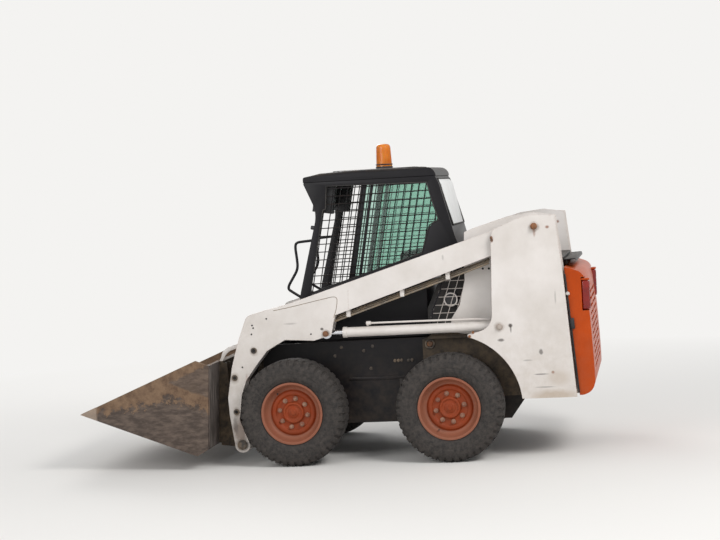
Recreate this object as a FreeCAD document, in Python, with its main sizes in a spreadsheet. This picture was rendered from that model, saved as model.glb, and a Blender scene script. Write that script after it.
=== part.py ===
"""Skid steer loader with a dirt bucket, built as separate pieces on their real joints.

Machine frame while modelling, in millimetres: X forward, Y to the left, Z up, with
X = 0 midway between the axles and Z = 0 under the tyres. Every finished piece is then
moved along X so that the origin lies under the middle of the whole machine.
"""
import FreeCAD, Part
import math
import os
import re
import Sketcher
from FreeCAD import Placement, Rotation, Vector

doc = FreeCAD.newDocument("skid_steer_loader")
sheet = doc.addObject("Spreadsheet::Sheet", "dims")

# Name, value in millimetres or degrees, meaning
SIZES = (
    ("lip_x", 2109, "front edge of the bucket"),
    ("tail_x", -1605, "rearmost point of the tailgate"),
    ("wheelbase", 1121, "front axle to rear axle"),
    ("tyre_diameter", 760, "over the lugs"),
    ("tyre_width", 264, "section width"),
    ("tyre_outer", 835, "outer sidewall from the middle plane"),
    ("bead_radius", 214, "tyre bead on the rim"),
    ("rim_flange", 8, "height of the rim flange over the bead"),
    ("rim_width", 220, "over both flanges"),
    ("rim_edge", 6, "thickness of a flange"),
    ("disc_inset", 70, "rim flange to the disc face"),
    ("hub_radius", 85, "back of the wheel hub"),
    ("hub_depth", 80, "hub behind the disc"),
    ("axle_radius", 65, "axle tube"),
    ("axle_gap", 0.5, "axle tube to the turning hub"),
    ("hull_half", 430, "middle plane to the hull side"),
    ("hull_wall", 12, "hull side plate"),
    ("hull_floor", 248, "underside of the hull"),
    ("hull_top", 852, "top edge of the hull side"),
    ("hull_front", 842, "front of the hull"),
    ("floor_height", 330, "footwell floor"),
    ("engine_wall_x", -400, "wall between cab well and engine bay"),
    ("tail_floor", 424, "underside behind the rear wheels"),
    ("deck_height", 1385, "engine cover top"),
    ("deck_sheet", 18, "engine cover thickness"),
    ("tower_outer", 745, "outer face of a tower"),
    ("tower_inner", 530, "inner face of a tower"),
    ("tower_sheet", 10, "tower plate"),
    ("tower_web", 8, "web between the tower plates"),
    ("tower_rear_top_x", -1350, "rear top corner of a tower"),
    ("tower_rear_foot_x", -1447, "rear foot of a tower"),
    ("tower_top", 1692, "top edge of a tower"),
    ("arch_radius", 510, "rear wheel arch"),
    ("pivot_x", -1207, "arm pivot"),
    ("pivot_z", 1616, "arm pivot"),
    ("pivot_pin", 30, "arm pivot pin radius"),
    ("pivot_boss", 57, "arm pivot boss radius"),
    ("base_x", -935, "lift cylinder base pin"),
    ("base_z", 930, "lift cylinder base pin"),
    ("eye_x", 304, "lift rod pin on the arm"),
    ("eye_z", 928, "lift rod pin on the arm"),
    ("small_pin", 22, "cylinder pin radius"),
    ("hitch_x", 958, "coupler pivot"),
    ("hitch_z", 153, "coupler pivot"),
    ("hitch_pin", 25, "coupler pin radius"),
    ("hitch_boss", 55, "arm tip radius"),
    ("arm_outer", 705, "outer face of an arm"),
    ("arm_width", 120, "width of an arm"),
    ("arm_plate", 12, "side plate of an arm"),
    ("arm_wall", 20, "top and bottom wall of an arm"),
    ("cross_x", 745, "cross tube"),
    ("cross_z", 1012, "cross tube"),
    ("cross_radius", 50, "cross tube"),
    ("pin_clearance", 0.4, "radial gap at pins"),
    ("side_gap", 5, "gap beside moving bosses"),
    ("lift_bore", 35, "lift barrel outer radius"),
    ("lift_rod", 20, "lift rod radius"),
    ("lift_barrel_length", 1124, "base pin to the gland of the lift barrel"),
    ("eye_radius", 38, "rod eye"),
    ("eye_width", 60, "rod eye along the pin"),
    ("tilt_y", 500, "tilt cylinder from the middle plane"),
    ("tilt_base_x", 800, "tilt cylinder base pin"),
    ("tilt_base_z", 905, "tilt cylinder base pin"),
    ("tilt_eye_x", 1005, "tilt rod pin on the coupler"),
    ("tilt_eye_z", 370, "tilt rod pin on the coupler"),
    ("tilt_bore", 28, "tilt barrel outer radius"),
    ("tilt_rod", 16, "tilt rod radius"),
    ("tilt_barrel_length", 510, "base pin to the gland of the tilt barrel"),
    ("ear_plate", 15, "coupler ear"),
    ("coupler_half", 560, "outer face of the outer coupler ears"),
    ("coupler_slab", 28, "coupler face"),
    ("bucket_half", 865, "half width of the bucket"),
    ("bucket_sheet", 12, "bucket floor and back"),
    ("bucket_side", 16, "bucket side plate"),
    ("cab_half", 400, "half width of the cab"),
    ("cab_wall", 40, "cab posts and walls"),
    ("cab_hinge_x", -700, "cab tilt hinge"),
    ("cab_hinge_z", 1405, "cab tilt hinge"),
    ("cab_foot", 858, "lower edge of the cab"),
    ("cab_pan", 20, "seat pan"),
    ("roof_height", 2062, "top of the roof"),
    ("roof_sheet", 40, "roof thickness at the edge"),
    ("beacon_x", -70, "beacon"),
    ("beacon_radius", 59, "beacon lens"),
    ("beacon_top", 2262, "top of the beacon lens"),
    ("beacon_foot", 34, "height of the beacon base"),
    ("gate_half", 700, "half width of the tailgate"),
    ("gate_sheet", 14, "tailgate skin"),
    ("gate_hinge_x", -1462, "tailgate hinge"),
    ("gate_hinge_y", 712, "tailgate hinge, on the right"),
    ("gate_knuckle", 14, "tailgate hinge knuckle radius"),
    ("gate_pin", 6, "tailgate hinge pin radius"),
    ("gate_knuckle_height", 60, "tailgate hinge knuckle"),
    ("gate_low_hinge", 560, "lower tailgate hinge"),
    ("gate_high_hinge", 1180, "upper tailgate hinge"),
    ("seat_half", 235, "half width of the seat"),
    ("bar_tube", 16, "seat bar radius"),
)

for row, (alias, value, meaning) in enumerate(SIZES, 1):
    sheet.set("A%d" % row, meaning)
    sheet.set("B%d" % row, str(value))
    sheet.setAlias("B%d" % row, alias)
doc.recompute()
ALIASES = {alias for alias, value, meaning in SIZES}

FRONT_AXLE = "wheelbase / 2"
REAR_AXLE = "-wheelbase / 2"
AXLE_Z = "tyre_diameter / 2"
ARM_INNER = "(arm_outer - arm_width)"
SHIFT = "-(lip_x + tail_x) / 2"


def bound(expression):
    """The expression with every size name pointing into the sheet."""
    def point(match):
        return "dims." + match.group() if match.group() in ALIASES else match.group()
    return re.sub(r"[a-z_]+", point, str(expression))


def number(expression):
    """The present value of an expression of size names."""
    return float(sheet.evalExpression(bound(expression)))


def face_plane(body, plane):
    """The origin plane of a body on which a side, top or front outline is drawn."""
    role = {"side": "XZ_Plane", "top": "XY_Plane", "front": "YZ_Plane"}[plane]
    return [item for item in body.Origin.OriginFeatures if item.Role == role][0]


def draw(body, plane, low, high, outline=(), circles=()):
    """A sketch with a closed outline or circles, each coordinate bound to the sheet."""
    sketch = body.newObject("Sketcher::SketchObject", body.Name + "_sketch")
    sketch.AttachmentSupport = [(face_plane(body, plane), "")]
    sketch.MapMode = "FlatFace"
    offset = "-(%s)" % high if plane == "side" else low
    sketch.AttachmentOffset = Placement(Vector(0, 0, number(offset)), Rotation())
    sketch.setExpression("AttachmentOffset.Base.z", bound(offset))
    spots = [(number(u), number(v)) for u, v in outline]
    for start, end in zip(spots, spots[1:] + spots[:1]):
        sketch.addGeometry(Part.LineSegment(Vector(*start, 0), Vector(*end, 0)), False)
    for index in range(len(spots)):
        following = (index + 1) % len(spots)
        sketch.addConstraint(Sketcher.Constraint("Coincident", index, 2, following, 1))
    for index, point in enumerate(outline):
        fix(sketch, index, 1, point)
    for index, (u, v, radius) in enumerate(circles, len(spots)):
        middle = Vector(number(u), number(v), 0)
        circle = Part.Circle(middle, Vector(0, 0, 1), number(radius))
        sketch.addGeometry(circle, False)
        fix(sketch, index, 3, (u, v))
        size = sketch.addConstraint(Sketcher.Constraint("Radius", index, number(radius)))
        sketch.setExpression("Constraints[%d]" % size, bound(radius))
    return sketch


def fix(sketch, index, corner, point):
    """Bind one corner or centre of a sketch to its two expressions."""
    for kind, expression in zip(("DistanceX", "DistanceY"), point):
        constraint = Sketcher.Constraint(kind, -1, 1, index, corner, number(expression))
        place = sketch.addConstraint(constraint)
        sketch.setExpression("Constraints[%d]" % place, bound(expression))


def prism(name, plane, low, high, outline=(), circles=()):
    """A body padded from an outline, between two positions across its plane."""
    body = doc.addObject("PartDesign::Body", name)
    pad = body.newObject("PartDesign::Pad", name + "_pad")
    pad.Profile = draw(body, plane, low, high, outline, circles)
    pad.setExpression("Length", bound("(%s) - (%s)" % (high, low)))
    doc.recompute()
    return body


def cut(body, plane, low, high, outline=(), circles=()):
    """Take the same kind of prism out of a body."""
    before = body.Shape.Volume
    pocket = body.newObject("PartDesign::Pocket", body.Name + "_pocket")
    pocket.Profile = draw(body, plane, low, high, outline, circles)
    pocket.setExpression("Length", bound("(%s) - (%s)" % (high, low)))
    pocket.Reversed = True
    body.Tip = pocket
    doc.recompute()
    if body.Shape.Volume >= before:
        raise ValueError("a cut in %s takes nothing away" % body.Name)
    return body


def soften(body, plane, corners):
    """Round the corners of a prism that lie at the given points, by their radii."""
    across = {"side": "y", "top": "z", "front": "x"}[plane]
    kept = [axis for axis in "xyz" if axis != across]
    for radius in sorted({corner[2] for corner in corners}, key=str):
        names = []
        for u, v, wanted in corners:
            if wanted == radius:
                names += edges_at(body.Shape, kept, (number(u), number(v)))
        before = body.Tip
        fillet = body.newObject("PartDesign::Fillet", body.Name + "_round")
        fillet.Base = (before, names)
        fillet.setExpression("Radius", bound(radius))
        body.Tip = fillet
        doc.recompute()
    return body


def edges_at(shape, kept, place):
    """Names of the straight edges that cross the plane at one point."""
    names = []
    for index, edge in enumerate(shape.Edges, 1):
        ends = [vertex.Point for vertex in edge.Vertexes]
        if all(math.dist([getattr(end, axis) for axis in kept], place) < 0.01 for end in ends):
            names.append("Edge%d" % index)
    return names


def pin(name, x, z, low, high, radius):
    """A round bar across the machine, from one Y to another."""
    bar = doc.addObject("Part::Cylinder", name)
    bar.Placement = Placement(Vector(0, 0, 0), Rotation(Vector(1, 0, 0), -90))
    bar.setExpression("Radius", bound(radius))
    bar.setExpression("Height", bound("(%s) - (%s)" % (high, low)))
    for axis, place in zip("xyz", (x, low, z)):
        bar.setExpression("Placement.Base." + axis, bound(place))
    return bar


def joined(name, pieces):
    """Several solids fused into one."""
    fuse = doc.addObject("Part::MultiFuse", name)
    fuse.Shapes = pieces
    doc.recompute()
    return fuse


def without(name, base, tool):
    """One solid less another."""
    difference = doc.addObject("Part::Cut", name)
    difference.Base = base
    difference.Tool = tool
    doc.recompute()
    return difference


def together(name, pieces):
    """Like pieces that don't touch, kept as one node."""
    group = doc.addObject("Part::Compound", name)
    group.Links = pieces
    doc.recompute()
    return group


def mirrored(name, source):
    """The same piece on the right side."""
    copy = doc.addObject("Part::Mirroring", name)
    copy.Source = source
    copy.Normal = (0, 1, 0)
    doc.recompute()
    return copy


NODES = []


def keep(piece, label):
    """Name a finished piece and move it to the machine's own origin."""
    piece.Label = label
    if piece.TypeId != "Part::Mirroring":
        piece.setExpression("Placement.Base.x", bound(SHIFT))
    NODES.append(piece)
    return piece


def both_sides(piece, label):
    """Keep a left piece and its mirror image on the right."""
    left = keep(piece, label + "_left")
    doc.recompute()
    keep(mirrored(label + "_right", left), label + "_right")


def ring(name, profile, centre):
    """A turned piece about a cross axis: profile of (Y, radius), centre (X, Z)."""
    body = doc.addObject("PartDesign::Body", name)
    sketch = draw(body, "front", "0", "0", profile)
    turned = body.newObject("PartDesign::Revolution", name + "_turned")
    turned.Profile = sketch
    turned.ReferenceAxis = (sketch, ["H_Axis"])
    turned.Angle = 360
    holder = doc.addObject("Part::Compound", name + "_placed")
    holder.Links = [body]
    body.setExpression("Placement.Base.x", bound(centre[0]))
    body.setExpression("Placement.Base.z", bound(centre[1]))
    doc.recompute()
    return holder


def wheels():
    """Four tyres on their rims, each turned about its own axle."""
    middle = "(tyre_outer - tyre_width / 2)"
    half = "tyre_width / 2"
    crown = "tyre_diameter / 2"
    # Half of the tyre section: share of the half width, radius
    tread = (
        (0.78, "bead_radius"),
        (0.78, "bead_radius + rim_flange + 4"),
        (0.96, "bead_radius + 48"),
        (1.0, "bead_radius + 92"),
        (0.94, crown + " - 28"),
        (0.8, crown),
    )
    # Rim section from the outer flange inward: Y from the tyre's middle, radius
    flange = "bead_radius + rim_flange"
    face = "(rim_width / 2 - disc_inset)"
    rim = (
        ("rim_width / 2", flange),
        ("rim_width / 2", "bead_radius - 2"),
        (face + " + 12", "bead_radius - 36"),
        (face, "bead_radius - 42"),
        (face, "bead_radius - 78"),
        (face + " + 18", "bead_radius - 86"),
        (face + " + 18", "78"),
        (face + " + 32", "73"),
        (face + " + 32", "0"),
        (face + " - 20 - hub_depth", "0"),
        (face + " - 20 - hub_depth", "hub_radius"),
        (face + " - 20", "hub_radius + 10"),
        (face + " - 20", "bead_radius - 49"),
        (face + " - 10", "bead_radius - 14"),
        ("-rim_width / 2", "bead_radius - 10"),
        ("-rim_width / 2", flange),
        ("-rim_width / 2 + rim_edge", flange),
        ("-rim_width / 2 + rim_edge", "bead_radius"),
        ("rim_width / 2 - rim_edge", "bead_radius"),
        ("rim_width / 2 - rim_edge", flange),
    )
    for end, axle in (("front", FRONT_AXLE), ("rear", REAR_AXLE)):
        section = [("%s + %s * %s" % (middle, share, half), r) for share, r in tread]
        section += [("%s - %s * %s" % (middle, share, half), r) for share, r in tread[::-1]]
        both_sides(ring("tyre_" + end, section, (axle, AXLE_Z)), "tyre_" + end)
        section = [("%s + %s" % (middle, across), r) for across, r in rim]
        both_sides(ring("rim_" + end, section, (axle, AXLE_Z)), "rim_" + end)


def hull():
    """Welded hull: floor, side plates, footwell and engine bay, with the axle tubes."""
    rear = "tower_rear_foot_x + 17"
    outline = (
        (rear, "tail_floor"), (REAR_AXLE + " - 530", "tail_floor"),
        (REAR_AXLE + " - 400", "hull_floor"), ("hull_front - 120", "hull_floor"),
        ("hull_front - 30", "hull_floor + 90"), ("hull_front", "hull_top - 48"),
        ("hull_front - 48", "hull_top - 13"), ("engine_wall_x - 30", "hull_top"),
        ("engine_wall_x - 30", "hull_top + 240"), (rear, "hull_top + 240"),
    )
    body = prism("hull_tub", "side", "-hull_half", "hull_half", outline)
    inner = "hull_half - hull_wall"
    well = (
        ("engine_wall_x", "floor_height"), ("hull_front - 150", "floor_height"),
        ("hull_front - 60", "floor_height + 90"), ("hull_front - 40", "hull_top + 300"),
        ("engine_wall_x", "hull_top + 300"),
    )
    cut(body, "side", "-(%s)" % inner, inner, well)
    bay = (
        (rear + " - 30", "tail_floor + 20"), (REAR_AXLE + " - 520", "tail_floor + 20"),
        (REAR_AXLE + " - 395", "hull_floor + 20"),
        ("engine_wall_x - 30 - hull_wall", "hull_floor + 20"),
        ("engine_wall_x - 30 - hull_wall", "hull_top + 300"), (rear + " - 30", "hull_top + 300"),
    )
    cut(body, "side", "-(%s)" % inner, inner, bay)
    keep(body, "hull")
    middle = "(tyre_outer - tyre_width / 2)"
    tip = "%s + rim_width / 2 - disc_inset - 20 - hub_depth - axle_gap" % middle
    tubes = []
    for end, axle in (("front", FRONT_AXLE), ("rear", REAR_AXLE)):
        left = pin("axle_" + end, axle, AXLE_Z, "hull_half", tip, "axle_radius")
        tubes += [left, mirrored("axle_%s_right" % end, left)]
    keep(together("axle_group", tubes), "axle_tubes")


def towers():
    """The two upright towers that carry the arms and the lift cylinders."""
    slope = (
        ("tower_rear_top_x", "tower_top - 8"), ("pivot_x + 9", "tower_top + 5"),
        ("pivot_x + 126", "tower_top - 20"), ("pivot_x + 283", "pivot_z - 10"),
    )
    outer = (
        ("tower_rear_foot_x", "tail_floor"), ("tower_rear_foot_x + 58", "pivot_z - 324"),
    ) + slope + (
        ("base_x + 29", "pivot_z - 57"), ("base_x + 51", "base_z - 5"),
        ("base_x + 225", "base_z - 45"), ("base_x + 225", "tail_floor + 200"),
        (REAR_AXLE + " - 480", "tail_floor"),
    )
    skin = prism("tower_skin", "side", "tower_outer - tower_sheet", "tower_outer", outer)
    soften(skin, "side", (("base_x + 51", "base_z - 5", "120"),))
    cut(skin, "side", "tower_outer - tower_sheet", "tower_outer",
        circles=((REAR_AXLE, AXLE_Z, "arch_radius"),))
    back = (
        ("tower_rear_foot_x", "tail_floor"), ("tower_rear_foot_x + 58", "pivot_z - 324"),
        ("tower_rear_top_x", "tower_top - 8"), ("pivot_x + 9", "tower_top + 18"),
        ("pivot_x + 186", "tower_top"), ("pivot_x + 448", "pivot_z + 1"),
        ("pivot_x + 507", "pivot_z - 22"), ("pivot_x + 521", "pivot_z - 235"),
        ("pivot_x + 521", "pivot_z - 362"), ("pivot_x + 566", "pivot_z - 538"),
        ("pivot_x + 628", "pivot_z - 629"), ("pivot_x + 650", "hull_top"),
        ("pivot_x + 650", "tail_floor + 160"), (REAR_AXLE + " - 400", "tail_floor"),
    )
    lining = prism("tower_lining", "side", "tower_inner", "tower_inner + tower_sheet", back)
    gap = ("tower_inner + tower_sheet", "tower_outer - tower_sheet")
    rear = (
        ("tower_rear_foot_x + 10", "tail_floor"),
        ("tower_rear_foot_x + 10 + tower_web", "tail_floor"),
        ("tower_rear_foot_x + 78 + tower_web", "pivot_z - 324"),
        ("tower_rear_top_x + 12 + tower_web", "tower_top - 30"),
        ("tower_rear_top_x + 12", "tower_top - 30"),
        ("tower_rear_foot_x + 78", "pivot_z - 324"),
    )
    web = prism("tower_rear_web", "side", gap[0], gap[1], rear)
    foot = (
        ("tower_rear_foot_x + 10", "tail_floor"), (REAR_AXLE + " - 520", "tail_floor"),
        (REAR_AXLE + " - 520", "tail_floor + tower_web"),
        ("tower_rear_foot_x + 10", "tail_floor + tower_web"),
    )
    sole = prism("tower_foot", "side", "hull_half", gap[1], foot)
    pivot = pin("arm_pin", "pivot_x", "pivot_z", "tower_inner", "tower_outer + 12", "pivot_pin")
    base = pin("lift_base_pin", "base_x", "base_z", "tower_inner", "tower_outer + 8", "small_pin")
    cab_pin = pin("cab_pin", "cab_hinge_x + 30", "cab_hinge_z + 20",
                  "cab_half - cab_wall / 2", "tower_inner", "small_pin")
    tower = joined("tower_solid", [skin, lining, web, sole, pivot, base, cab_pin])
    both_sides(tower, "tower")


def engine():
    """Engine as one block, the louvred cover over it and the rear sill."""
    block = prism("block", "side", "-280", "280", (
        ("engine_wall_x - 120", "hull_floor + 20"), ("engine_wall_x - 120", "hull_top + 200"),
        ("engine_wall_x - 820", "hull_top + 200"), ("engine_wall_x - 820", "tail_floor + 20"),
        (REAR_AXLE + " - 520", "tail_floor + 20"), (REAR_AXLE + " - 395", "hull_floor + 20"),
    ))
    keep(block, "engine_block")
    cover = prism("cover", "side", "-tower_inner", "tower_inner", (
        ("cab_hinge_x - 60", "deck_height"), ("tower_rear_foot_x + 60", "deck_height"),
        ("tower_rear_foot_x + 60", "deck_height - deck_sheet"),
        ("cab_hinge_x - 60", "deck_height - deck_sheet"),
    ))
    keep(cover, "engine_cover")


def arms():
    """Lift arms: a tapering box beam that turns down at the knee to the coupler."""
    outline = (
        ("pivot_x - 80", "pivot_z + 96"), ("eye_x + 270", "eye_z + 221"),
        ("eye_x + 445", "eye_z + 182"), ("eye_x + 572", "eye_z + 149"),
        ("hitch_x - 13", "hitch_z + 753"), ("hitch_x + 45", "hitch_z + 563"),
        ("hitch_x + 87", "hitch_z + 341"), ("hitch_x + 82", "hitch_z + 218"),
        ("hitch_x + hitch_boss", "hitch_z"), ("hitch_x + hitch_boss - 3", "hitch_z - hitch_boss"),
        ("hitch_x - hitch_boss", "hitch_z - hitch_boss"), ("hitch_x - hitch_boss", "hitch_z"),
        ("hitch_x + 11", "hitch_z + 179"), ("hitch_x - 15", "hitch_z + 359"),
        ("hitch_x - 54", "hitch_z + 463"), ("hitch_x - 134", "hitch_z + 568"),
        ("eye_x + 436", "eye_z - 106"), ("eye_x + 301", "eye_z - 32"),
        ("eye_x + 86", "eye_z - 45"), ("eye_x - 40", "eye_z - 10"),
        ("eye_x - 60", "eye_z + 78"), ("eye_x - 75", "eye_z + 129"),
        ("pivot_x + 318", "pivot_z - 194"), ("pivot_x - 80", "pivot_z - 64"),
    )
    body = prism("arm_side", "side", ARM_INNER, "arm_outer", outline)
    soften(body, "side", (
        ("pivot_x - 80", "pivot_z + 96", "70"), ("pivot_x - 80", "pivot_z - 64", "70"),
        ("eye_x + 572", "eye_z + 149", "60"),
        ("hitch_x + hitch_boss - 3", "hitch_z - hitch_boss", "50"),
        ("hitch_x - hitch_boss", "hitch_z - hitch_boss", "50"),
    ))
    # The rod eye swings in a slot between the knee's plates
    cut(body, "side", ARM_INNER + " + arm_plate", "arm_outer - arm_plate", (
        ("eye_x - 120", "eye_z - 90"), ("eye_x + 150", "eye_z - 90"),
        ("eye_x + 120", "eye_z + 50"), ("eye_x - 20", "eye_z + 75"),
        ("eye_x - 120", "eye_z + 75"),
    ))
    boss = pin("pivot_tube", "pivot_x", "pivot_z", "tower_inner + tower_sheet + side_gap",
               "tower_outer - tower_sheet - side_gap", "pivot_boss")
    bores = joined("arm_bores", [
        pin("pivot_bore", "pivot_x", "pivot_z", "tower_inner", "tower_outer",
            "pivot_pin + pin_clearance"),
        pin("hitch_bore", "hitch_x", "hitch_z", ARM_INNER + " - 10", "arm_outer + 10",
            "hitch_pin + pin_clearance"),
    ])
    both_sides(without("arm_drilled", joined("arm_solid", [body, boss]), bores), "arm")
    cross = pin("cross_tube", "cross_x", "cross_z", "-" + ARM_INNER, ARM_INNER, "cross_radius")
    pads = []
    for side in ("", "-"):
        low = "tilt_y + 45" if side == "" else "-" + ARM_INNER
        high = ARM_INNER if side == "" else "-tilt_y - 45"
        pads.append(pin("tilt_pad" + str(len(pads)), "tilt_base_x", "tilt_base_z", low, high,
                        "48"))
    inner_pins = []
    for side in (1, -1):
        low = "tilt_y - 45" if side == 1 else "-tilt_y - 45"
        high = "tilt_y + 45" if side == 1 else "-tilt_y + 45"
        inner_pins.append(pin("tilt_pin%d" % len(inner_pins), "tilt_base_x", "tilt_base_z",
                              low, high, "small_pin"))
    keep(together("cross_node", [cross]), "arm_cross_tube")
    keep(together("tilt_mount_pair", [joined("tilt_mount_left", [pads[0], inner_pins[0]]),
                                  joined("tilt_mount_right", [pads[1], inner_pins[1]])]),
         "tilt_mounts")


def along(name, start, end, begin, length, radius, across):
    """A round bar on the line from one pin to another, beginning at a distance."""
    run = (number(end[0]) - number(start[0]), number(end[1]) - number(start[1]))
    angle = math.degrees(math.atan2(run[0], run[1]))
    bar = doc.addObject("Part::Cylinder", name)
    bar.Placement = Placement(Vector(0, 0, 0), Rotation(Vector(0, 1, 0), angle))
    bar.setExpression("Radius", bound(radius))
    bar.setExpression("Height", bound(length))
    step = math.hypot(*run)
    bar.setExpression("Placement.Base.x", bound(start[0]) + " + (%s) * %r" % (
        bound(begin), run[0] / step))
    bar.setExpression("Placement.Base.y", bound(across))
    bar.setExpression("Placement.Base.z", bound(start[1]) + " + (%s) * %r" % (
        bound(begin), run[1] / step))
    return bar


def cylinders():
    """Lift and tilt cylinders, each a barrel on its base pin and a rod with its eye."""
    lift_y = "(arm_outer - arm_width / 2)"
    # Name, base pin, rod pin, barrel radius, barrel length, rod radius, across, eye width
    table = (
        ("lift", ("base_x", "base_z"), ("eye_x", "eye_z"), "lift_bore", "lift_barrel_length",
         "lift_rod", lift_y, "eye_width"),
        ("tilt", ("tilt_base_x", "tilt_base_z"), ("tilt_eye_x", "tilt_eye_z"), "tilt_bore",
         "tilt_barrel_length", "tilt_rod", "tilt_y", "eye_width"),
    )
    for name, base, eye, bore, length, rod, across, width in table:
        low = "%s - %s / 2" % (across, width)
        high = "%s + %s / 2" % (across, width)
        barrel = joined(name + "_barrel_solid", [
            along(name + "_tube", base, eye, "0", length, bore, across),
            pin(name + "_base_eye", base[0], base[1], low, high, "eye_radius"),
        ])
        hollow = joined(name + "_barrel_bore", [
            pin(name + "_base_hole", base[0], base[1], low + " - side_gap", high + " + side_gap",
                "small_pin + pin_clearance"),
            along(name + "_bore", base, eye, "small_pin + 40", length, rod + " + pin_clearance",
                  across),
        ])
        both_sides(without(name + "_drilled", barrel, hollow), name + "_barrel")
        reach = math.dist([number(v) for v in base], [number(v) for v in eye])
        stem = along(name + "_stem", base, eye, "small_pin + 60",
                     "%r - small_pin - 60" % reach, rod, across)
        both_sides(joined(name + "_rod_solid", [
            stem, pin(name + "_rod_eye", eye[0], eye[1], low, high, "eye_radius"),
        ]), name + "_rod")


def coupler():
    """Quick coupler: ears on the arm tips and a face that carries the bucket."""
    ear = (
        ("hitch_x - 50", "hitch_z - 45"), ("hitch_x + 195", "hitch_z - 20"),
        ("hitch_x + 160", "hitch_z + 580"), ("hitch_x + 120", "hitch_z + 580"),
        ("tilt_eye_x + 60", "tilt_eye_z + 40"), ("tilt_eye_x - 45", "tilt_eye_z + 40"),
        ("hitch_x - 50", "hitch_z + 40"),
    )
    pieces = []
    inner = "tilt_y - eye_width / 2 - side_gap - ear_plate"
    for index, low in enumerate((inner, "coupler_half - ear_plate")):
        left = prism("coupler_ear%d" % index, "side", low, low + " + ear_plate", ear)
        pieces += [left, mirrored("coupler_ear%d_right" % index, left)]
    pieces.append(prism("coupler_face", "side", "-coupler_half", "coupler_half", (
        ("hitch_x + 212", "hitch_z - 1"), ("hitch_x + 175", "hitch_z + 595"),
        ("hitch_x + 175 - coupler_slab", "hitch_z + 595"),
        ("hitch_x + 212 - coupler_slab", "hitch_z - 1"),
    )))
    left = pin("coupler_pin", "hitch_x", "hitch_z", "coupler_half - ear_plate",
               "arm_outer + 10", "hitch_pin")
    pieces += [left, mirrored("coupler_pin_right", left)]
    keep(joined("coupler_solid", pieces), "coupler")


def bucket():
    """Dirt bucket, curled back, with its cutting edge."""
    outline = (
        ("lip_x - 130", "hitch_z + 300"), ("lip_x - 112", "hitch_z + 316"),
        ("hitch_x + 272", "hitch_z + 633"), ("hitch_x + 175", "hitch_z + 595"),
        ("hitch_x + 212", "hitch_z - 1"), ("hitch_x + 295", "hitch_z - 50"),
        ("lip_x - 120", "hitch_z + 250 - 20"),
    )
    body = prism("bucket_shell", "side", "-bucket_half", "bucket_half", outline)
    inside = (
        ("lip_x", "hitch_z + 330"), ("lip_x", "hitch_z + 900"),
        ("hitch_x + 100", "hitch_z + 900"), ("hitch_x + 175 + bucket_sheet", "hitch_z + 640"),
        ("hitch_x + 212 + bucket_sheet", "hitch_z + 14"),
        ("hitch_x + 298", "hitch_z - 50 + bucket_sheet"),
    )
    room = "bucket_half - bucket_side"
    cut(body, "side", "-(%s)" % room, room, inside)
    keep(body, "bucket")
    edge = prism("edge_bar", "side", "-bucket_half", "bucket_half", (
        ("lip_x - 120", "hitch_z + 230"), ("lip_x", "hitch_z + 276"),
        ("lip_x - 124", "hitch_z + 258"),
    ))
    keep(edge, "cutting_edge")


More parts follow.
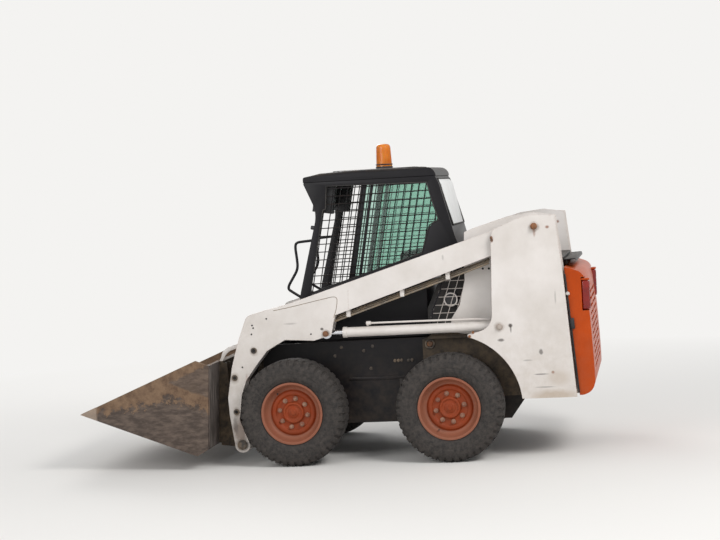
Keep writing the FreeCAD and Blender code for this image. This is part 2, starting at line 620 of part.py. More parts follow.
def cab():
    """Operator's cab: posts and walls, roof, white rear panel and glass."""
    outline = (
        ("cab_hinge_x + 5", "cab_hinge_z - 5"), ("cab_hinge_x + 25", "cab_hinge_z + 157"),
        ("cab_hinge_x + 109", "roof_height - 66"), ("cab_hinge_x + 160", "roof_height - roof_sheet"),
        ("cab_hinge_x + 1140", "roof_height - roof_sheet"), ("cab_hinge_x + 1100", "1786"),
        ("cab_hinge_x + 1242", "1192"), ("cab_hinge_x + 1260", "cab_foot"),
        ("engine_wall_x + 8", "cab_foot"), ("engine_wall_x + 8", "cab_hinge_z - 145"),
    )
    body = prism("cab_shell", "side", "-cab_half", "cab_half", outline)
    inner = "cab_half - cab_wall"
    room = (
        ("cab_hinge_x + 25 + cab_wall", "cab_hinge_z + 40"),
        ("cab_hinge_x + 65 + cab_wall", "cab_hinge_z + 157"),
        ("cab_hinge_x + 125 + cab_wall", "roof_height - 76 - cab_wall"),
        ("cab_hinge_x + 1300", "roof_height - 36 - cab_wall - 40"),
        ("cab_hinge_x + 1300", "cab_foot - 10"), ("cab_hinge_x + 960", "cab_foot - 10"),
        ("cab_hinge_x + 960", "cab_foot + cab_pan"),
        ("engine_wall_x + 8 + cab_wall", "cab_foot + cab_pan"),
        ("engine_wall_x + 8 + cab_wall", "cab_hinge_z - 110"),
    )
    cut(body, "side", "-(%s)" % inner, inner, room)
    window = (
        ("cab_hinge_x + 1025", "1947"), ("cab_hinge_x + 860", "1975"),
        ("cab_hinge_x + 277", "1963"), ("cab_hinge_x + 149", "1669"),
        ("cab_hinge_x + 306", "1440"), ("cab_hinge_x + 1104", "1223"),
        ("cab_hinge_x + 1005", "1786"),
    )
    cut(body, "side", "-cab_half", "cab_half", window)
    bore = pin("cab_bore", "cab_hinge_x + 30", "cab_hinge_z + 20", "-cab_half", "cab_half",
               "small_pin + pin_clearance")
    keep(without("cab_drilled", body, bore), "cab_frame")
    roof = prism("roof_sheet_metal", "side", "-cab_half", "cab_half", (
        ("cab_hinge_x + 160", "roof_height - roof_sheet"), ("cab_hinge_x + 175", "roof_height - 8"),
        ("cab_hinge_x + 400", "roof_height"), ("cab_hinge_x + 966", "roof_height"),
        ("cab_hinge_x + 1167", "roof_height - 17"),
        ("cab_hinge_x + 1140", "roof_height - roof_sheet"),
    ))
    keep(roof, "cab_roof")
    base = doc.addObject("Part::Cylinder", "beacon_can")
    base.setExpression("Radius", bound("beacon_radius + 4"))
    base.setExpression("Height", bound("beacon_foot"))
    lens = doc.addObject("Part::Cylinder", "beacon_dome")
    lens.setExpression("Radius", bound("beacon_radius"))
    lens.setExpression("Height", bound("beacon_top - roof_height - beacon_foot"))
    for piece, height, label in ((base, "roof_height", "beacon_base"),
                                 (lens, "roof_height + beacon_foot", "beacon_lens")):
        piece.setExpression("Placement.Base.x", bound("beacon_x"))
        piece.setExpression("Placement.Base.z", bound(height))
        keep(together(piece.Name + "_node", [piece]), label)
    seat = prism("seat", "side", "-seat_half", "seat_half", (
        ("cab_hinge_x + 420", "cab_foot + cab_pan"), ("cab_hinge_x + 420", "cab_foot + 160"),
        ("cab_hinge_x + 395", "cab_foot + 640"), ("cab_hinge_x + 470", "cab_foot + 640"),
        ("cab_hinge_x + 540", "cab_foot + 200"), ("cab_hinge_x + 930", "cab_foot + 240"),
        ("cab_hinge_x + 930", "cab_foot + 110"), ("cab_hinge_x + 900", "cab_foot + cab_pan"),
    ))
    keep(seat, "operator_seat")


def seat_bar():
    """Padded bar that comes down over the operator's lap."""
    inner = "(cab_half - cab_wall - side_gap)"
    start, end = ("cab_hinge_x + 280", "cab_foot + 532"), ("cab_hinge_x + 860", "cab_foot + 330")
    arm = along("bar_arm", start, end, "0", "%r" % math.dist(
        [number(v) for v in start], [number(v) for v in end]), "bar_tube",
        inner + " - 2 * bar_tube")
    arm_right = mirrored("bar_arm_right", arm)
    pivots = [pin("bar_pivot", start[0], start[1], inner + " - 2 * bar_tube",
                  "cab_half - cab_wall - 0.3", "bar_tube + 4")]
    pivots.append(mirrored("bar_pivot_right", pivots[0]))
    lap = pin("bar_lap", end[0], end[1], "-" + inner + " + 1.5 * bar_tube",
              inner + " - 1.5 * bar_tube", "bar_tube + 6")
    keep(joined("bar_solid", [arm, arm_right, lap] + pivots), "seat_bar")


def tailgate():
    """Tailgate: a deep pressed door across the whole rear."""
    outline = (
        ("tower_rear_foot_x + 40", "deck_height + 3"), ("tower_rear_foot_x + 4", "deck_height + 8"),
        ("tail_x + 89", "deck_height - 34"), ("tail_x + 60", "deck_height - 130"),
        ("tail_x + 20", "deck_height - 500"), ("tail_x", "tail_floor + 93"),
        ("tail_x + 10", "tail_floor + 20"), ("tail_x + 60", "tail_floor - 20"),
        ("tower_rear_foot_x - 12", "tail_floor + 6"),
        ("tower_rear_foot_x - 12", "tail_floor + 40"),
    )
    body = prism("gate_shell", "side", "-gate_half", "gate_half", outline)
    room = (
        ("tower_rear_foot_x + 100", "deck_height - 14"),
        ("tail_x + 103", "deck_height - 48"), ("tail_x + 75", "deck_height - 134"),
        ("tail_x + 35", "deck_height - 500"), ("tail_x + gate_sheet", "tail_floor + 93"),
        ("tail_x + 60", "tail_floor - 2"), ("tower_rear_foot_x + 100", "tail_floor + 20"),
    )
    inner = "gate_half - gate_sheet"
    cut(body, "side", "-(%s)" % inner, inner, room)
    knuckles, pins = [], []
    for index, height in enumerate(("gate_low_hinge", "gate_high_hinge")):
        knuckles.append(post("gate_knuckle%d" % index, height, "gate_knuckle_height",
                             "gate_knuckle"))
        hole = post("gate_hole%d" % index, height, "gate_knuckle_height",
                    "gate_pin + pin_clearance")
        pins.append((height, hole))
    solid = joined("gate_solid", [body] + knuckles)
    drilled = without("gate_drilled", solid, joined("gate_holes", [hole for h, hole in pins]))
    keep(drilled, "tailgate")
    brackets = []
    for index, (height, hole) in enumerate(pins):
        rod = post("gate_pin%d" % index, height + " - 12", "gate_knuckle_height + 24", "gate_pin")
        slant = "(%s - 12 - tail_floor) / (pivot_z - 324 - tail_floor)" % height
        edge = "tower_rear_foot_x + 10 + 68 * %s - 0.3" % slant
        for level, low in enumerate((height + " - 12", height + " + gate_knuckle_height + 2")):
            brackets.append(prism("gate_bracket%d%d" % (index, level), "top", low, low + " + 10", (
                ("gate_hinge_x - 8", "-gate_hinge_y + 8"), (edge, "-gate_hinge_y + 8"),
                (edge, "-tower_outer + tower_sheet"), ("gate_hinge_x - 8", "-gate_hinge_y - 8"),
            )))
        brackets.append(rod)
    sets = [joined("gate_hinge_low", brackets[:3]), joined("gate_hinge_high", brackets[3:])]
    keep(together("gate_hinge_pair", sets), "tailgate_hinges")


def post(name, low, height, radius):
    """A vertical round bar on the tailgate's hinge line."""
    bar = doc.addObject("Part::Cylinder", name)
    bar.setExpression("Radius", bound(radius))
    bar.setExpression("Height", bound(height))
    for axis, place in zip("xyz", ("gate_hinge_x", "-gate_hinge_y", low)):
        bar.setExpression("Placement.Base." + axis, bound(place))
    return bar


wheels()
hull()
towers()
engine()
arms()
cylinders()
coupler()
bucket()
cab()
seat_bar()
tailgate()

doc.recompute()
for item in doc.Objects:
    if "Invalid" in item.State or "Error" in item.State:
        raise ValueError("%s did not recompute" % item.Name)
os.makedirs("parts", exist_ok=True)
for piece in NODES:
    shape = piece.Shape
    if shape.isNull() or not shape.isValid():
        raise ValueError("%s has no valid shape" % piece.Label)
    shape.exportStep("parts/%s.step" % piece.Label)
    print(piece.Label, len(shape.Solids), "solids, %.1f litres" % (shape.Volume / 1e6))
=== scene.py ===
"""Looks of the skid steer loader: finishes for its solids and the fine pieces on them."""
import bpy
import math
from mathutils import Matrix, Vector
from mathutils.geometry import intersect_line_line_2d


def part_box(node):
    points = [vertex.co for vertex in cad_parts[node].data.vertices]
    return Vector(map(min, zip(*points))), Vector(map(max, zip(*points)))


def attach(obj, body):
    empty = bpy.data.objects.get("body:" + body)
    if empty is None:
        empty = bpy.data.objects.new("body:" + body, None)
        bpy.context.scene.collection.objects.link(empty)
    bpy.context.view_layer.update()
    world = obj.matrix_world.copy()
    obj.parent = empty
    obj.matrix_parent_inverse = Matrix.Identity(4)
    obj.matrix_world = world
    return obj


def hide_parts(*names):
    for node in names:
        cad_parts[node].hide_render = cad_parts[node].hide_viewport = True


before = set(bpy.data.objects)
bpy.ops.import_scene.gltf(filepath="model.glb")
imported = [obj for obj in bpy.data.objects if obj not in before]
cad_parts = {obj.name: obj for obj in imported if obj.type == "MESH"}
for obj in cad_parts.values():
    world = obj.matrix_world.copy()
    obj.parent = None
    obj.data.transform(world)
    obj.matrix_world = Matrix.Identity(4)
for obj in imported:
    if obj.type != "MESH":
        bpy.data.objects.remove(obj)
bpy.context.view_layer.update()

# The solids stand with the middle of the machine over the origin; drawings of this
# machine count from the middle of the wheelbase instead, in millimetres
FRONT_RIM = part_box("rim_front_left")
REAR_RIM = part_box("rim_rear_left")
MIDDLE = (FRONT_RIM[0].x + FRONT_RIM[1].x + REAR_RIM[0].x + REAR_RIM[1].x) / 4
HALF_BASE = (FRONT_RIM[0].x + FRONT_RIM[1].x) / 2 - MIDDLE
AXLE_HEIGHT = (FRONT_RIM[0].z + FRONT_RIM[1].z) / 2


def spot(x, y, z):
    """A point of the machine in millimetres, in metres where the solids stand."""
    return Vector((x / 1000 + MIDDLE, y / 1000, z / 1000))


def tint(code, alpha=1.0):
    """An sRGB hex colour as linear values."""
    channels = [int(code[i:i + 2], 16) / 255 for i in (1, 3, 5)]
    linear = [c / 12.92 if c <= 0.04045 else ((c + 0.055) / 1.055) ** 2.4 for c in channels]
    return (*linear, alpha)


def put(tree, kind, settings=(), links=()):
    """Add a node with its settings and links."""
    item = tree.nodes.new("ShaderNode" + kind)
    for name, value in dict(settings).items():
        if isinstance(name, str) and hasattr(item, name):
            setattr(item, name, value)
        else:
            item.inputs[name].default_value = value
    for name, source in dict(links).items():
        tree.links.new(source, item.inputs[name])
    return item


def enamel(name, paint, shade, dust, under, gloss, settings=(), marks=()):
    """Sprayed machine enamel: even colour with faint mottling, dust low down and on ledges,
    paint rubbed through on edges, and a fine orange-peel skin."""
    wear = {"dust": 0.5, "edge": 0.5, "rust": 0.3, "reach": 1.4, "coat": 0.12, "specular": 0.5,
            "flange": None}
    wear.update(dict(settings))
    material = bpy.data.materials.new(name)
    material.use_nodes = True
    tree = material.node_tree
    tree.nodes.clear()
    place = put(tree, "TexCoord").outputs["Object"]
    facing = put(tree, "NewGeometry").outputs["Normal"]
    # Mottling of the paint over patches of about 300 mm
    mottle = put(tree, "TexNoise", {"Scale": 3.3, "Detail": 6.0, "Roughness": 0.6},
                 {"Vector": place}).outputs["Fac"]
    body = put(tree, "Mix", {"data_type": "RGBA", 6: tint(paint), 7: tint(shade)},
               {0: put(tree, "MapRange", {"From Min": 0.35, "From Max": 0.75},
                       {"Value": mottle}).outputs[0]}).outputs[2]
    where = put(tree, "SeparateXYZ", {}, {0: place}).outputs
    height = where["Z"]
    if wear["flange"]:
        # A wheel's flange is scuffed pale by the tyre, its dish keeps the paint
        along = put(tree, "Math", {"operation": "SUBTRACT", 1: MIDDLE}, {0: where["X"]})
        along = put(tree, "Math", {"operation": "ABSOLUTE"}, {0: along.outputs[0]})
        along = put(tree, "Math", {"operation": "SUBTRACT", 1: HALF_BASE}, {0: along.outputs[0]})
        above = put(tree, "Math", {"operation": "SUBTRACT", 1: AXLE_HEIGHT}, {0: height})
        radius = put(tree, "VectorMath", {"operation": "LENGTH"}, {0: put(
            tree, "CombineXYZ", {}, {0: along.outputs[0], 1: above.outputs[0]}).outputs[0]})
        rubbed = put(tree, "MapRange", {"From Min": 0.163, "From Max": 0.168, "To Max": 0.72},
                     {"Value": radius.outputs["Value"]})
        body = put(tree, "Mix", {"data_type": "RGBA", 7: tint(wear["flange"])},
                   {0: rubbed.outputs[0], 6: body}).outputs[2]
    # Dust: more towards the ground and on faces that look up
    low = put(tree, "MapRange", {"From Min": 0.0, "From Max": wear["reach"], "To Min": 1.0,
                                 "To Max": 0.0}, {"Value": height}).outputs[0]
    up = put(tree, "MapRange", {"From Min": 0.3, "From Max": 1.0, "To Max": 0.9},
             {"Value": put(tree, "SeparateXYZ", {}, {0: facing}).outputs["Z"]}).outputs[0]
    # Blotches of settled dust, 60 mm across, with grains of about 3 mm
    blotch = put(tree, "TexNoise", {"Scale": 16.0, "Detail": 9.0, "Roughness": 0.68},
                 {"Vector": place}).outputs["Fac"]
    lying = put(tree, "Math", {"operation": "MAXIMUM"}, {0: low, 1: up}).outputs[0]
    cover = put(tree, "Math", {"operation": "MULTIPLY", "use_clamp": True}, {
        0: lying,
        1: put(tree, "MapRange", {"From Min": 0.34, "From Max": 0.66, "To Max": wear["dust"]},
               {"Value": blotch}).outputs[0]}).outputs[0]
    dusty = put(tree, "Mix", {"data_type": "RGBA", 7: tint(dust)}, {0: cover, 6: body}).outputs[2]
    # Edges rubbed to primer and rust, broken up at 8 mm
    soft = put(tree, "Bevel", {"samples": 4, "Radius": 0.009}).outputs["Normal"]
    bend = put(tree, "VectorMath", {"operation": "DOT_PRODUCT"}, {0: soft, 1: facing})
    chips = put(tree, "TexNoise", {"Scale": 120.0, "Detail": 3.0}, {"Vector": place})
    edge = put(tree, "Math", {"operation": "MULTIPLY", "use_clamp": True}, {
        0: put(tree, "MapRange", {"From Min": 0.97, "From Max": 0.85, "To Max": wear["edge"]},
               {"Value": bend.outputs["Value"]}).outputs[0],
        1: put(tree, "MapRange", {"From Min": 0.45, "From Max": 0.62},
               {"Value": chips.outputs["Fac"]}).outputs[0]}).outputs[0]
    worn = put(tree, "Mix", {"data_type": "RGBA", 7: tint(under)}, {0: edge, 6: dusty}).outputs[2]
    # Rust blooms where the paint has let go, 25 mm across and rare
    bloom = put(tree, "TexNoise", {"Scale": 9.0, "Detail": 12.0, "Roughness": 0.75},
                {"Vector": place}).outputs["Fac"]
    rusted = put(tree, "Mix", {"data_type": "RGBA", 7: tint("#6b3a1e")}, {
        0: put(tree, "MapRange", {"From Min": 0.70, "From Max": 0.76, "To Max": wear["rust"]},
               {"Value": bloom}).outputs[0],
        6: worn}).outputs[2]
    # Marks that the eye finds at once: rust weeping round pins, rubbed and scraped places
    ragged = put(tree, "MapRange", {"To Min": -0.75, "To Max": 0.75}, {"Value": blotch}).outputs[0]
    for x, z, wide, high, colour, strength in marks:
        middle = spot(x, 0, z)
        reach = put(tree, "VectorMath", {"operation": "SUBTRACT", 1: middle}, {0: place})
        reach = put(tree, "VectorMath", {"operation": "MULTIPLY",
                                         1: (1000 / wide, 0, 1000 / high)}, {0: reach.outputs[0]})
        reach = put(tree, "VectorMath", {"operation": "LENGTH"}, {0: reach.outputs[0]})
        torn = put(tree, "Math", {"operation": "ADD"}, {0: reach.outputs["Value"], 1: ragged})
        share = put(tree, "MapRange", {"From Min": 1.05, "From Max": 0.45, "To Max": strength},
                    {"Value": torn.outputs[0]})
        rusted = put(tree, "Mix", {"data_type": "RGBA", 7: tint(colour)},
                     {0: share.outputs[0], 6: rusted}).outputs[2]
    rough = put(tree, "MapRange", {"To Min": gloss, "To Max": 0.85}, {"Value": cover}).outputs[0]
    # Orange peel of sprayed paint, 2.5 mm, under the grain of the dust
    peel = put(tree, "TexNoise", {"Scale": 400.0, "Detail": 2.0}, {"Vector": place}).outputs["Fac"]
    skin = put(tree, "Bump", {"Strength": 0.04, "Distance": 0.001}, {"Height": peel})
    grain = put(tree, "Bump", {"Strength": 0.35, "Distance": 0.002},
                {"Height": cover, "Normal": skin.outputs[0]})
    shader = put(tree, "BsdfPrincipled", {"IOR": 1.5, "Coat Weight": wear["coat"],
                                          "Coat Roughness": 0.3,
                                          "Specular IOR Level": wear["specular"]},
                 {"Base Color": rusted, "Roughness": rough, "Normal": grain.outputs[0]})
    put(tree, "OutputMaterial", {}, {"Surface": shader.outputs[0]})
    return material


def rubber(name):
    """Moulded tyre rubber, grey with dust that packs between the lugs."""
    material = bpy.data.materials.new(name)
    material.use_nodes = True
    tree = material.node_tree
    tree.nodes.clear()
    place = put(tree, "TexCoord").outputs["Object"]
    # Dust wiped and packed in patches of 40 mm, with 2 mm grit
    patch = put(tree, "TexNoise", {"Scale": 38.0, "Detail": 12.0, "Roughness": 0.75},
                {"Vector": place}).outputs["Fac"]
    cover = put(tree, "MapRange", {"From Min": 0.36, "From Max": 0.7, "To Max": 0.75},
                {"Value": patch}).outputs[0]
    colour = put(tree, "Mix", {"data_type": "RGBA", 6: tint("#242221"), 7: tint("#4f4843")},
                 {0: cover}).outputs[2]
    grit = put(tree, "TexNoise", {"Scale": 520.0, "Detail": 4.0}, {"Vector": place}).outputs["Fac"]
    bump = put(tree, "Bump", {"Strength": 0.4, "Distance": 0.0015}, {"Height": grit})
    shader = put(tree, "BsdfPrincipled", {"Roughness": 0.82, "IOR": 1.52,
                                          "Specular IOR Level": 0.35},
                 {"Base Color": colour, "Normal": bump.outputs[0]})
    put(tree, "OutputMaterial", {}, {"Surface": shader.outputs[0]})
    return material


def bare_metal(name, bright, dull, smooth, coarse, metallic, soil=None):
    """Bare steel: streaked by work, duller where it has tarnished, with dried soil on it."""
    material = bpy.data.materials.new(name)
    material.use_nodes = True
    tree = material.node_tree
    tree.nodes.clear()
    place = put(tree, "TexCoord").outputs["Object"]
    streaks = put(tree, "TexNoise", {"Scale": 30.0, "Detail": 8.0, "Roughness": 0.65},
                  {"Vector": put(tree, "Mapping", {"Scale": (1.0, 1.0, 7.0)},
                                 {"Vector": place}).outputs[0]}).outputs["Fac"]
    fade = put(tree, "MapRange", {"From Min": 0.35, "From Max": 0.65}, {"Value": streaks}).outputs[0]
    colour = put(tree, "Mix", {"data_type": "RGBA", 6: tint(bright), 7: tint(dull)},
                 {0: fade}).outputs[2]
    rough = put(tree, "MapRange", {"To Min": smooth, "To Max": coarse}, {"Value": fade}).outputs[0]
    shader = put(tree, "BsdfPrincipled", {"Metallic": metallic}, {})
    if soil:
        # Dry soil caked in patches of 80 mm, crumbly at 4 mm
        cake = put(tree, "TexNoise", {"Scale": 11.0, "Detail": 13.0, "Roughness": 0.7},
                   {"Vector": place}).outputs["Fac"]
        cover = put(tree, "MapRange", {"From Min": 0.42, "From Max": 0.56, "To Max": 0.9},
                    {"Value": cake}).outputs[0]
        colour = put(tree, "Mix", {"data_type": "RGBA", 7: tint(soil)},
                     {0: cover, 6: colour}).outputs[2]
        rough = put(tree, "Mix", {"data_type": "FLOAT", 3: 0.92}, {0: cover, 2: rough}).outputs[0]
        metal = put(tree, "MapRange", {"To Min": metallic, "To Max": 0.0}, {"Value": cover})
        tree.links.new(metal.outputs[0], shader.inputs["Metallic"])
        bump = put(tree, "Bump", {"Strength": 0.6, "Distance": 0.004}, {"Height": cake})
        tree.links.new(bump.outputs[0], shader.inputs["Normal"])
    tree.links.new(colour, shader.inputs["Base Color"])
    tree.links.new(rough, shader.inputs["Roughness"])
    put(tree, "OutputMaterial", {}, {"Surface": shader.outputs[0]})
    return material


def moulded(name, colour, shade, rough, settings=()):
    """Moulded plastic or vinyl: a fine pebbled grain of about 1.5 mm over an even colour."""
    material = bpy.data.materials.new(name)
    material.use_nodes = True
    tree = material.node_tree
    tree.nodes.clear()
    place = put(tree, "TexCoord").outputs["Object"]
    cloud = put(tree, "TexNoise", {"Scale": 14.0, "Detail": 8.0}, {"Vector": place}).outputs["Fac"]
    mixed = put(tree, "Mix", {"data_type": "RGBA", 6: tint(colour), 7: tint(shade)},
                {0: put(tree, "MapRange", {"From Min": 0.4, "From Max": 0.7},
                        {"Value": cloud}).outputs[0]}).outputs[2]
    grain = put(tree, "TexVoronoi", {"Scale": 600.0}, {"Vector": place}).outputs["Distance"]
    bump = put(tree, "Bump", {"Strength": 0.15, "Distance": 0.0006}, {"Height": grain})
    shader = put(tree, "BsdfPrincipled", {"Roughness": rough, **dict(settings)},
                 {"Base Color": mixed, "Normal": bump.outputs[0]})
    put(tree, "OutputMaterial", {}, {"Surface": shader.outputs[0]})
    return material


def bucket_steel(name):
    """Worn bucket plate: tan soil dried over the upper half of the sides, dark steel rubbed
    clean below it, streaked grey steel on the back, lighter there as painted light, pale scoured corners at
    the lip."""
    material = bpy.data.materials.new(name)
    material.use_nodes = True
    tree = material.node_tree
    tree.nodes.clear()
    place = put(tree, "TexCoord").outputs["Object"]
    where = put(tree, "SeparateXYZ", {}, {0: place}).outputs
    facing = put(tree, "SeparateXYZ", {}, {0: put(tree, "NewGeometry").outputs["Normal"]}).outputs
    # Grain of dried soil: clods of 60 mm breaking down to 3 mm crumbs
    clods = put(tree, "TexNoise", {"Scale": 17.0, "Detail": 13.0, "Roughness": 0.72},
                {"Vector": place}).outputs["Fac"]
    # Scrapes that run lengthways on the sides, 150 mm long and 12 mm wide
    scrapes = put(tree, "TexNoise", {"Scale": 42.0, "Detail": 7.0, "Roughness": 0.6},
                  {"Vector": put(tree, "Mapping", {"Scale": (0.34, 0.7, 1.0),
                                                   "Rotation": (0, math.radians(-18), 0)},
                                 {"Vector": place}).outputs[0]}).outputs["Fac"]
    # Streaks of rain and rust down the back, 10 mm wide
    streaks = put(tree, "TexNoise", {"Scale": 55.0, "Detail": 6.0, "Roughness": 0.6},
                  {"Vector": put(tree, "Mapping", {"Scale": (1.0, 1.0, 0.09)},
                                 {"Vector": place}).outputs[0]}).outputs["Fac"]
    # The soil line rises from the lip to the middle of the side and falls again to the back
    rise = put(tree, "Math", {"operation": "MULTIPLY_ADD", 1: -0.19,
                              2: 0.421 + 0.19 * spot(1941, 0, 0).x}, {0: where["X"]}).outputs[0]
    fall = put(tree, "Math", {"operation": "MULTIPLY_ADD", 1: 0.44,
                              2: 0.537 - 0.44 * spot(1446, 0, 0).x}, {0: where["X"]}).outputs[0]
    line = put(tree, "Math", {"operation": "MINIMUM"}, {0: rise, 1: fall}).outputs[0]
    above = put(tree, "Math", {"operation": "SUBTRACT"}, {0: where["Z"], 1: line}).outputs[0]
    ragged = put(tree, "MapRange", {"From Min": 0.25, "From Max": 0.75, "To Min": -0.09,
                                    "To Max": 0.09}, {"Value": clods}).outputs[0]
    edge = put(tree, "Math", {"operation": "ADD"}, {0: above, 1: ragged}).outputs[0]
    soiled = put(tree, "MapRange", {"From Min": -0.012, "From Max": 0.02, "To Max": 0.92},
                 {"Value": edge}).outputs[0]
    # Bare again in the upper back corner, below a band of soil along the top edge
    sill = put(tree, "Math", {"operation": "MULTIPLY_ADD", 1: 0.388,
                              2: 0.640 - 0.388 * spot(1460, 0, 0).x}, {0: where["X"]}).outputs[0]
    brow = put(tree, "Math", {"operation": "MULTIPLY_ADD", 1: -0.405,
                              2: 0.716 - 0.405 * -spot(1246, 0, 0).x}, {0: where["X"]}).outputs[0]
    torn = put(tree, "Math", {"operation": "MULTIPLY", 1: 0.25}, {0: ragged}).outputs[0]
    level = put(tree, "Math", {"operation": "ADD"}, {0: where["Z"], 1: torn}).outputs[0]
    over = put(tree, "MapRange", {"From Min": -0.004, "From Max": 0.010}, {"Value": put(
        tree, "Math", {"operation": "SUBTRACT"}, {0: level, 1: sill}).outputs[0]}).outputs[0]
    under = put(tree, "MapRange", {"From Min": -0.004, "From Max": 0.012}, {"Value": put(
        tree, "Math", {"operation": "SUBTRACT"}, {0: brow, 1: level}).outputs[0]}).outputs[0]
    corner = put(tree, "Math", {"operation": "MULTIPLY"}, {0: over, 1: under}).outputs[0]
    corner = put(tree, "MapRange", {"To Min": 1.0, "To Max": 0.2}, {"Value": corner}).outputs[0]
    soiled = put(tree, "Math", {"operation": "MULTIPLY"}, {0: soiled, 1: corner}).outputs[0]
    # Faces that look backwards get a lighter streaked grey and no soil: the streaks are rain and rust, the
    # lighter grey is painted light falling on the back
    behind = put(tree, "MapRange", {"From Min": -0.6, "From Max": -0.8}, {"Value": facing["X"]})
    front = put(tree, "Math", {"operation": "SUBTRACT", 0: 1.0}, {1: behind.outputs[0]})
    soiled = put(tree, "Math", {"operation": "MULTIPLY"},
                 {0: soiled, 1: front.outputs[0]}).outputs[0]
    worn = put(tree, "MapRange", {"From Min": 0.4, "From Max": 0.68}, {"Value": scrapes}).outputs[0]
    steel = put(tree, "Mix", {"data_type": "RGBA", 6: tint("#41362f"), 7: tint("#64564c")},
                {0: worn}).outputs[2]
    grey = put(tree, "Mix", {"data_type": "RGBA", 6: tint("#4f4845"), 7: tint("#857d77")}, {
        0: put(tree, "MapRange", {"From Min": 0.42, "From Max": 0.66},
               {"Value": streaks}).outputs[0]}).outputs[2]
    steel = put(tree, "Mix", {"data_type": "RGBA"},
                {0: behind.outputs[0], 6: steel, 7: grey}).outputs[2]
    soil = put(tree, "Mix", {"data_type": "RGBA", 6: tint("#5b4534"), 7: tint("#7f664f")}, {
        0: put(tree, "MapRange", {"From Min": 0.38, "From Max": 0.6}, {"Value": clods}).outputs[0],
    }).outputs[2]
    colour = put(tree, "Mix", {"data_type": "RGBA"}, {0: soiled, 6: steel, 7: soil}).outputs[2]
    # The lip and its corners are scoured pale
    lip = put(tree, "MapRange", {"From Min": spot(1975, 0, 0).x, "From Max": spot(1992, 0, 0).x,
                                 "To Max": 0.7}, {"Value": where["X"]}).outputs[0]
    colour = put(tree, "Mix", {"data_type": "RGBA", 7: tint("#9b8b7c")},
                 {0: lip, 6: colour}).outputs[2]
    metal = put(tree, "MapRange", {"To Min": 0.35, "To Max": 0.0}, {"Value": soiled}).outputs[0]
    rough = put(tree, "MapRange", {"To Min": 0.5, "To Max": 0.93}, {"Value": soiled}).outputs[0]
    bump = put(tree, "Bump", {"Strength": 0.5, "Distance": 0.004}, {"Height": put(
        tree, "Math", {"operation": "MULTIPLY"}, {0: clods, 1: soiled}).outputs[0]})
    shader = put(tree, "BsdfPrincipled", {}, {"Base Color": colour, "Metallic": metal,
                                              "Roughness": rough, "Normal": bump.outputs[0]})
    put(tree, "OutputMaterial", {}, {"Surface": shader.outputs[0]})
    return material


def glass(name, colour, clear, rough, dust):
    """Flat cab glass: tinted through its thickness, with a film of dust that dulls it."""
    material = bpy.data.materials.new(name)
    material.use_nodes = True
    tree = material.node_tree
    tree.nodes.clear()
    place = put(tree, "TexCoord").outputs["Object"]
    # Dust that dried in runs after rain, wider than 40 mm and longer downwards
    film = put(tree, "TexNoise", {"Scale": 18.0, "Detail": 9.0, "Roughness": 0.7},
               {"Vector": put(tree, "Mapping", {"Scale": (1.0, 1.0, 0.45)},
                              {"Vector": place}).outputs[0]}).outputs["Fac"]
    cover = put(tree, "MapRange", {"From Min": 0.35, "From Max": 0.75, "To Min": dust * 0.5,
                                   "To Max": dust}, {"Value": film}).outputs[0]
    tinted = put(tree, "Mix", {"data_type": "RGBA", 6: tint(colour), 7: tint("#cfc9bf")},
                 {0: cover}).outputs[2]
    through = put(tree, "MapRange", {"To Min": clear, "To Max": 0.0}, {"Value": cover}).outputs[0]
    dull = put(tree, "MapRange", {"To Min": rough, "To Max": 0.8}, {"Value": cover}).outputs[0]
    shader = put(tree, "BsdfPrincipled", {"IOR": 1.5},
                 {"Base Color": tinted, "Roughness": dull, "Transmission Weight": through})
    put(tree, "OutputMaterial", {}, {"Surface": shader.outputs[0]})
    return material


DRY_SOIL = "#9c8a72"
RUST, SCRAPE, DUST, SOIL_STAIN = "#7d4a2a", "#3c332d", "#a08a70", "#7c6a58"
# Place and half size in millimetres, colour, strength
PALE_MARKS = (
    (-1207, 1612, 40, 36, SOIL_STAIN, 0.55), (-1207, 1574, 10, 34, RUST, 0.5),
    (-935, 928, 40, 38, SOIL_STAIN, 0.6), (-1010, 935, 17, 15, SCRAPE, 0.95),
    (-1012, 912, 7, 26, SCRAPE, 0.6),
    (-912, 1542, 13, 26, RUST, 0.8), (-1298, 1606, 16, 13, RUST, 0.8),
    (-1289, 602, 15, 13, RUST, 0.75), (-941, 838, 26, 12, SCRAPE, 0.75),
    (-1213, 744, 15, 22, SCRAPE, 0.7), (-1205, 590, 55, 6, SCRAPE, 0.6),
    (-1120, 690, 40, 7, SCRAPE, 0.35), (-1330, 1120, 7, 60, SCRAPE, 0.3),
    (835, 824, 34, 40, SOIL_STAIN, 0.6), (988, 635, 38, 44, SOIL_STAIN, 0.65),
    (988, 391, 26, 44, SOIL_STAIN, 0.7), (958, 153, 66, 60, SCRAPE, 0.7),
    (972, 250, 62, 120, "#6b5444", 0.75), (898, 560, 16, 110, RUST, 0.55),
    (1060, 600, 16, 190, RUST, 0.35),
    (1000, 300, 20, 80, SCRAPE, 0.45), (304, 926, 36, 32, SOIL_STAIN, 0.7),
    (330, 964, 13, 12, SCRAPE, 0.9), (560, 1010, 50, 8, SCRAPE, 0.3),
    (-560, 1430, 8, 22, SCRAPE, 0.3), (-1290, 440, 190, 46, DUST, 0.55),
    (-1330, 560, 90, 60, DUST, 0.3), (-1230, 500, 80, 5, SCRAPE, 0.5),
)
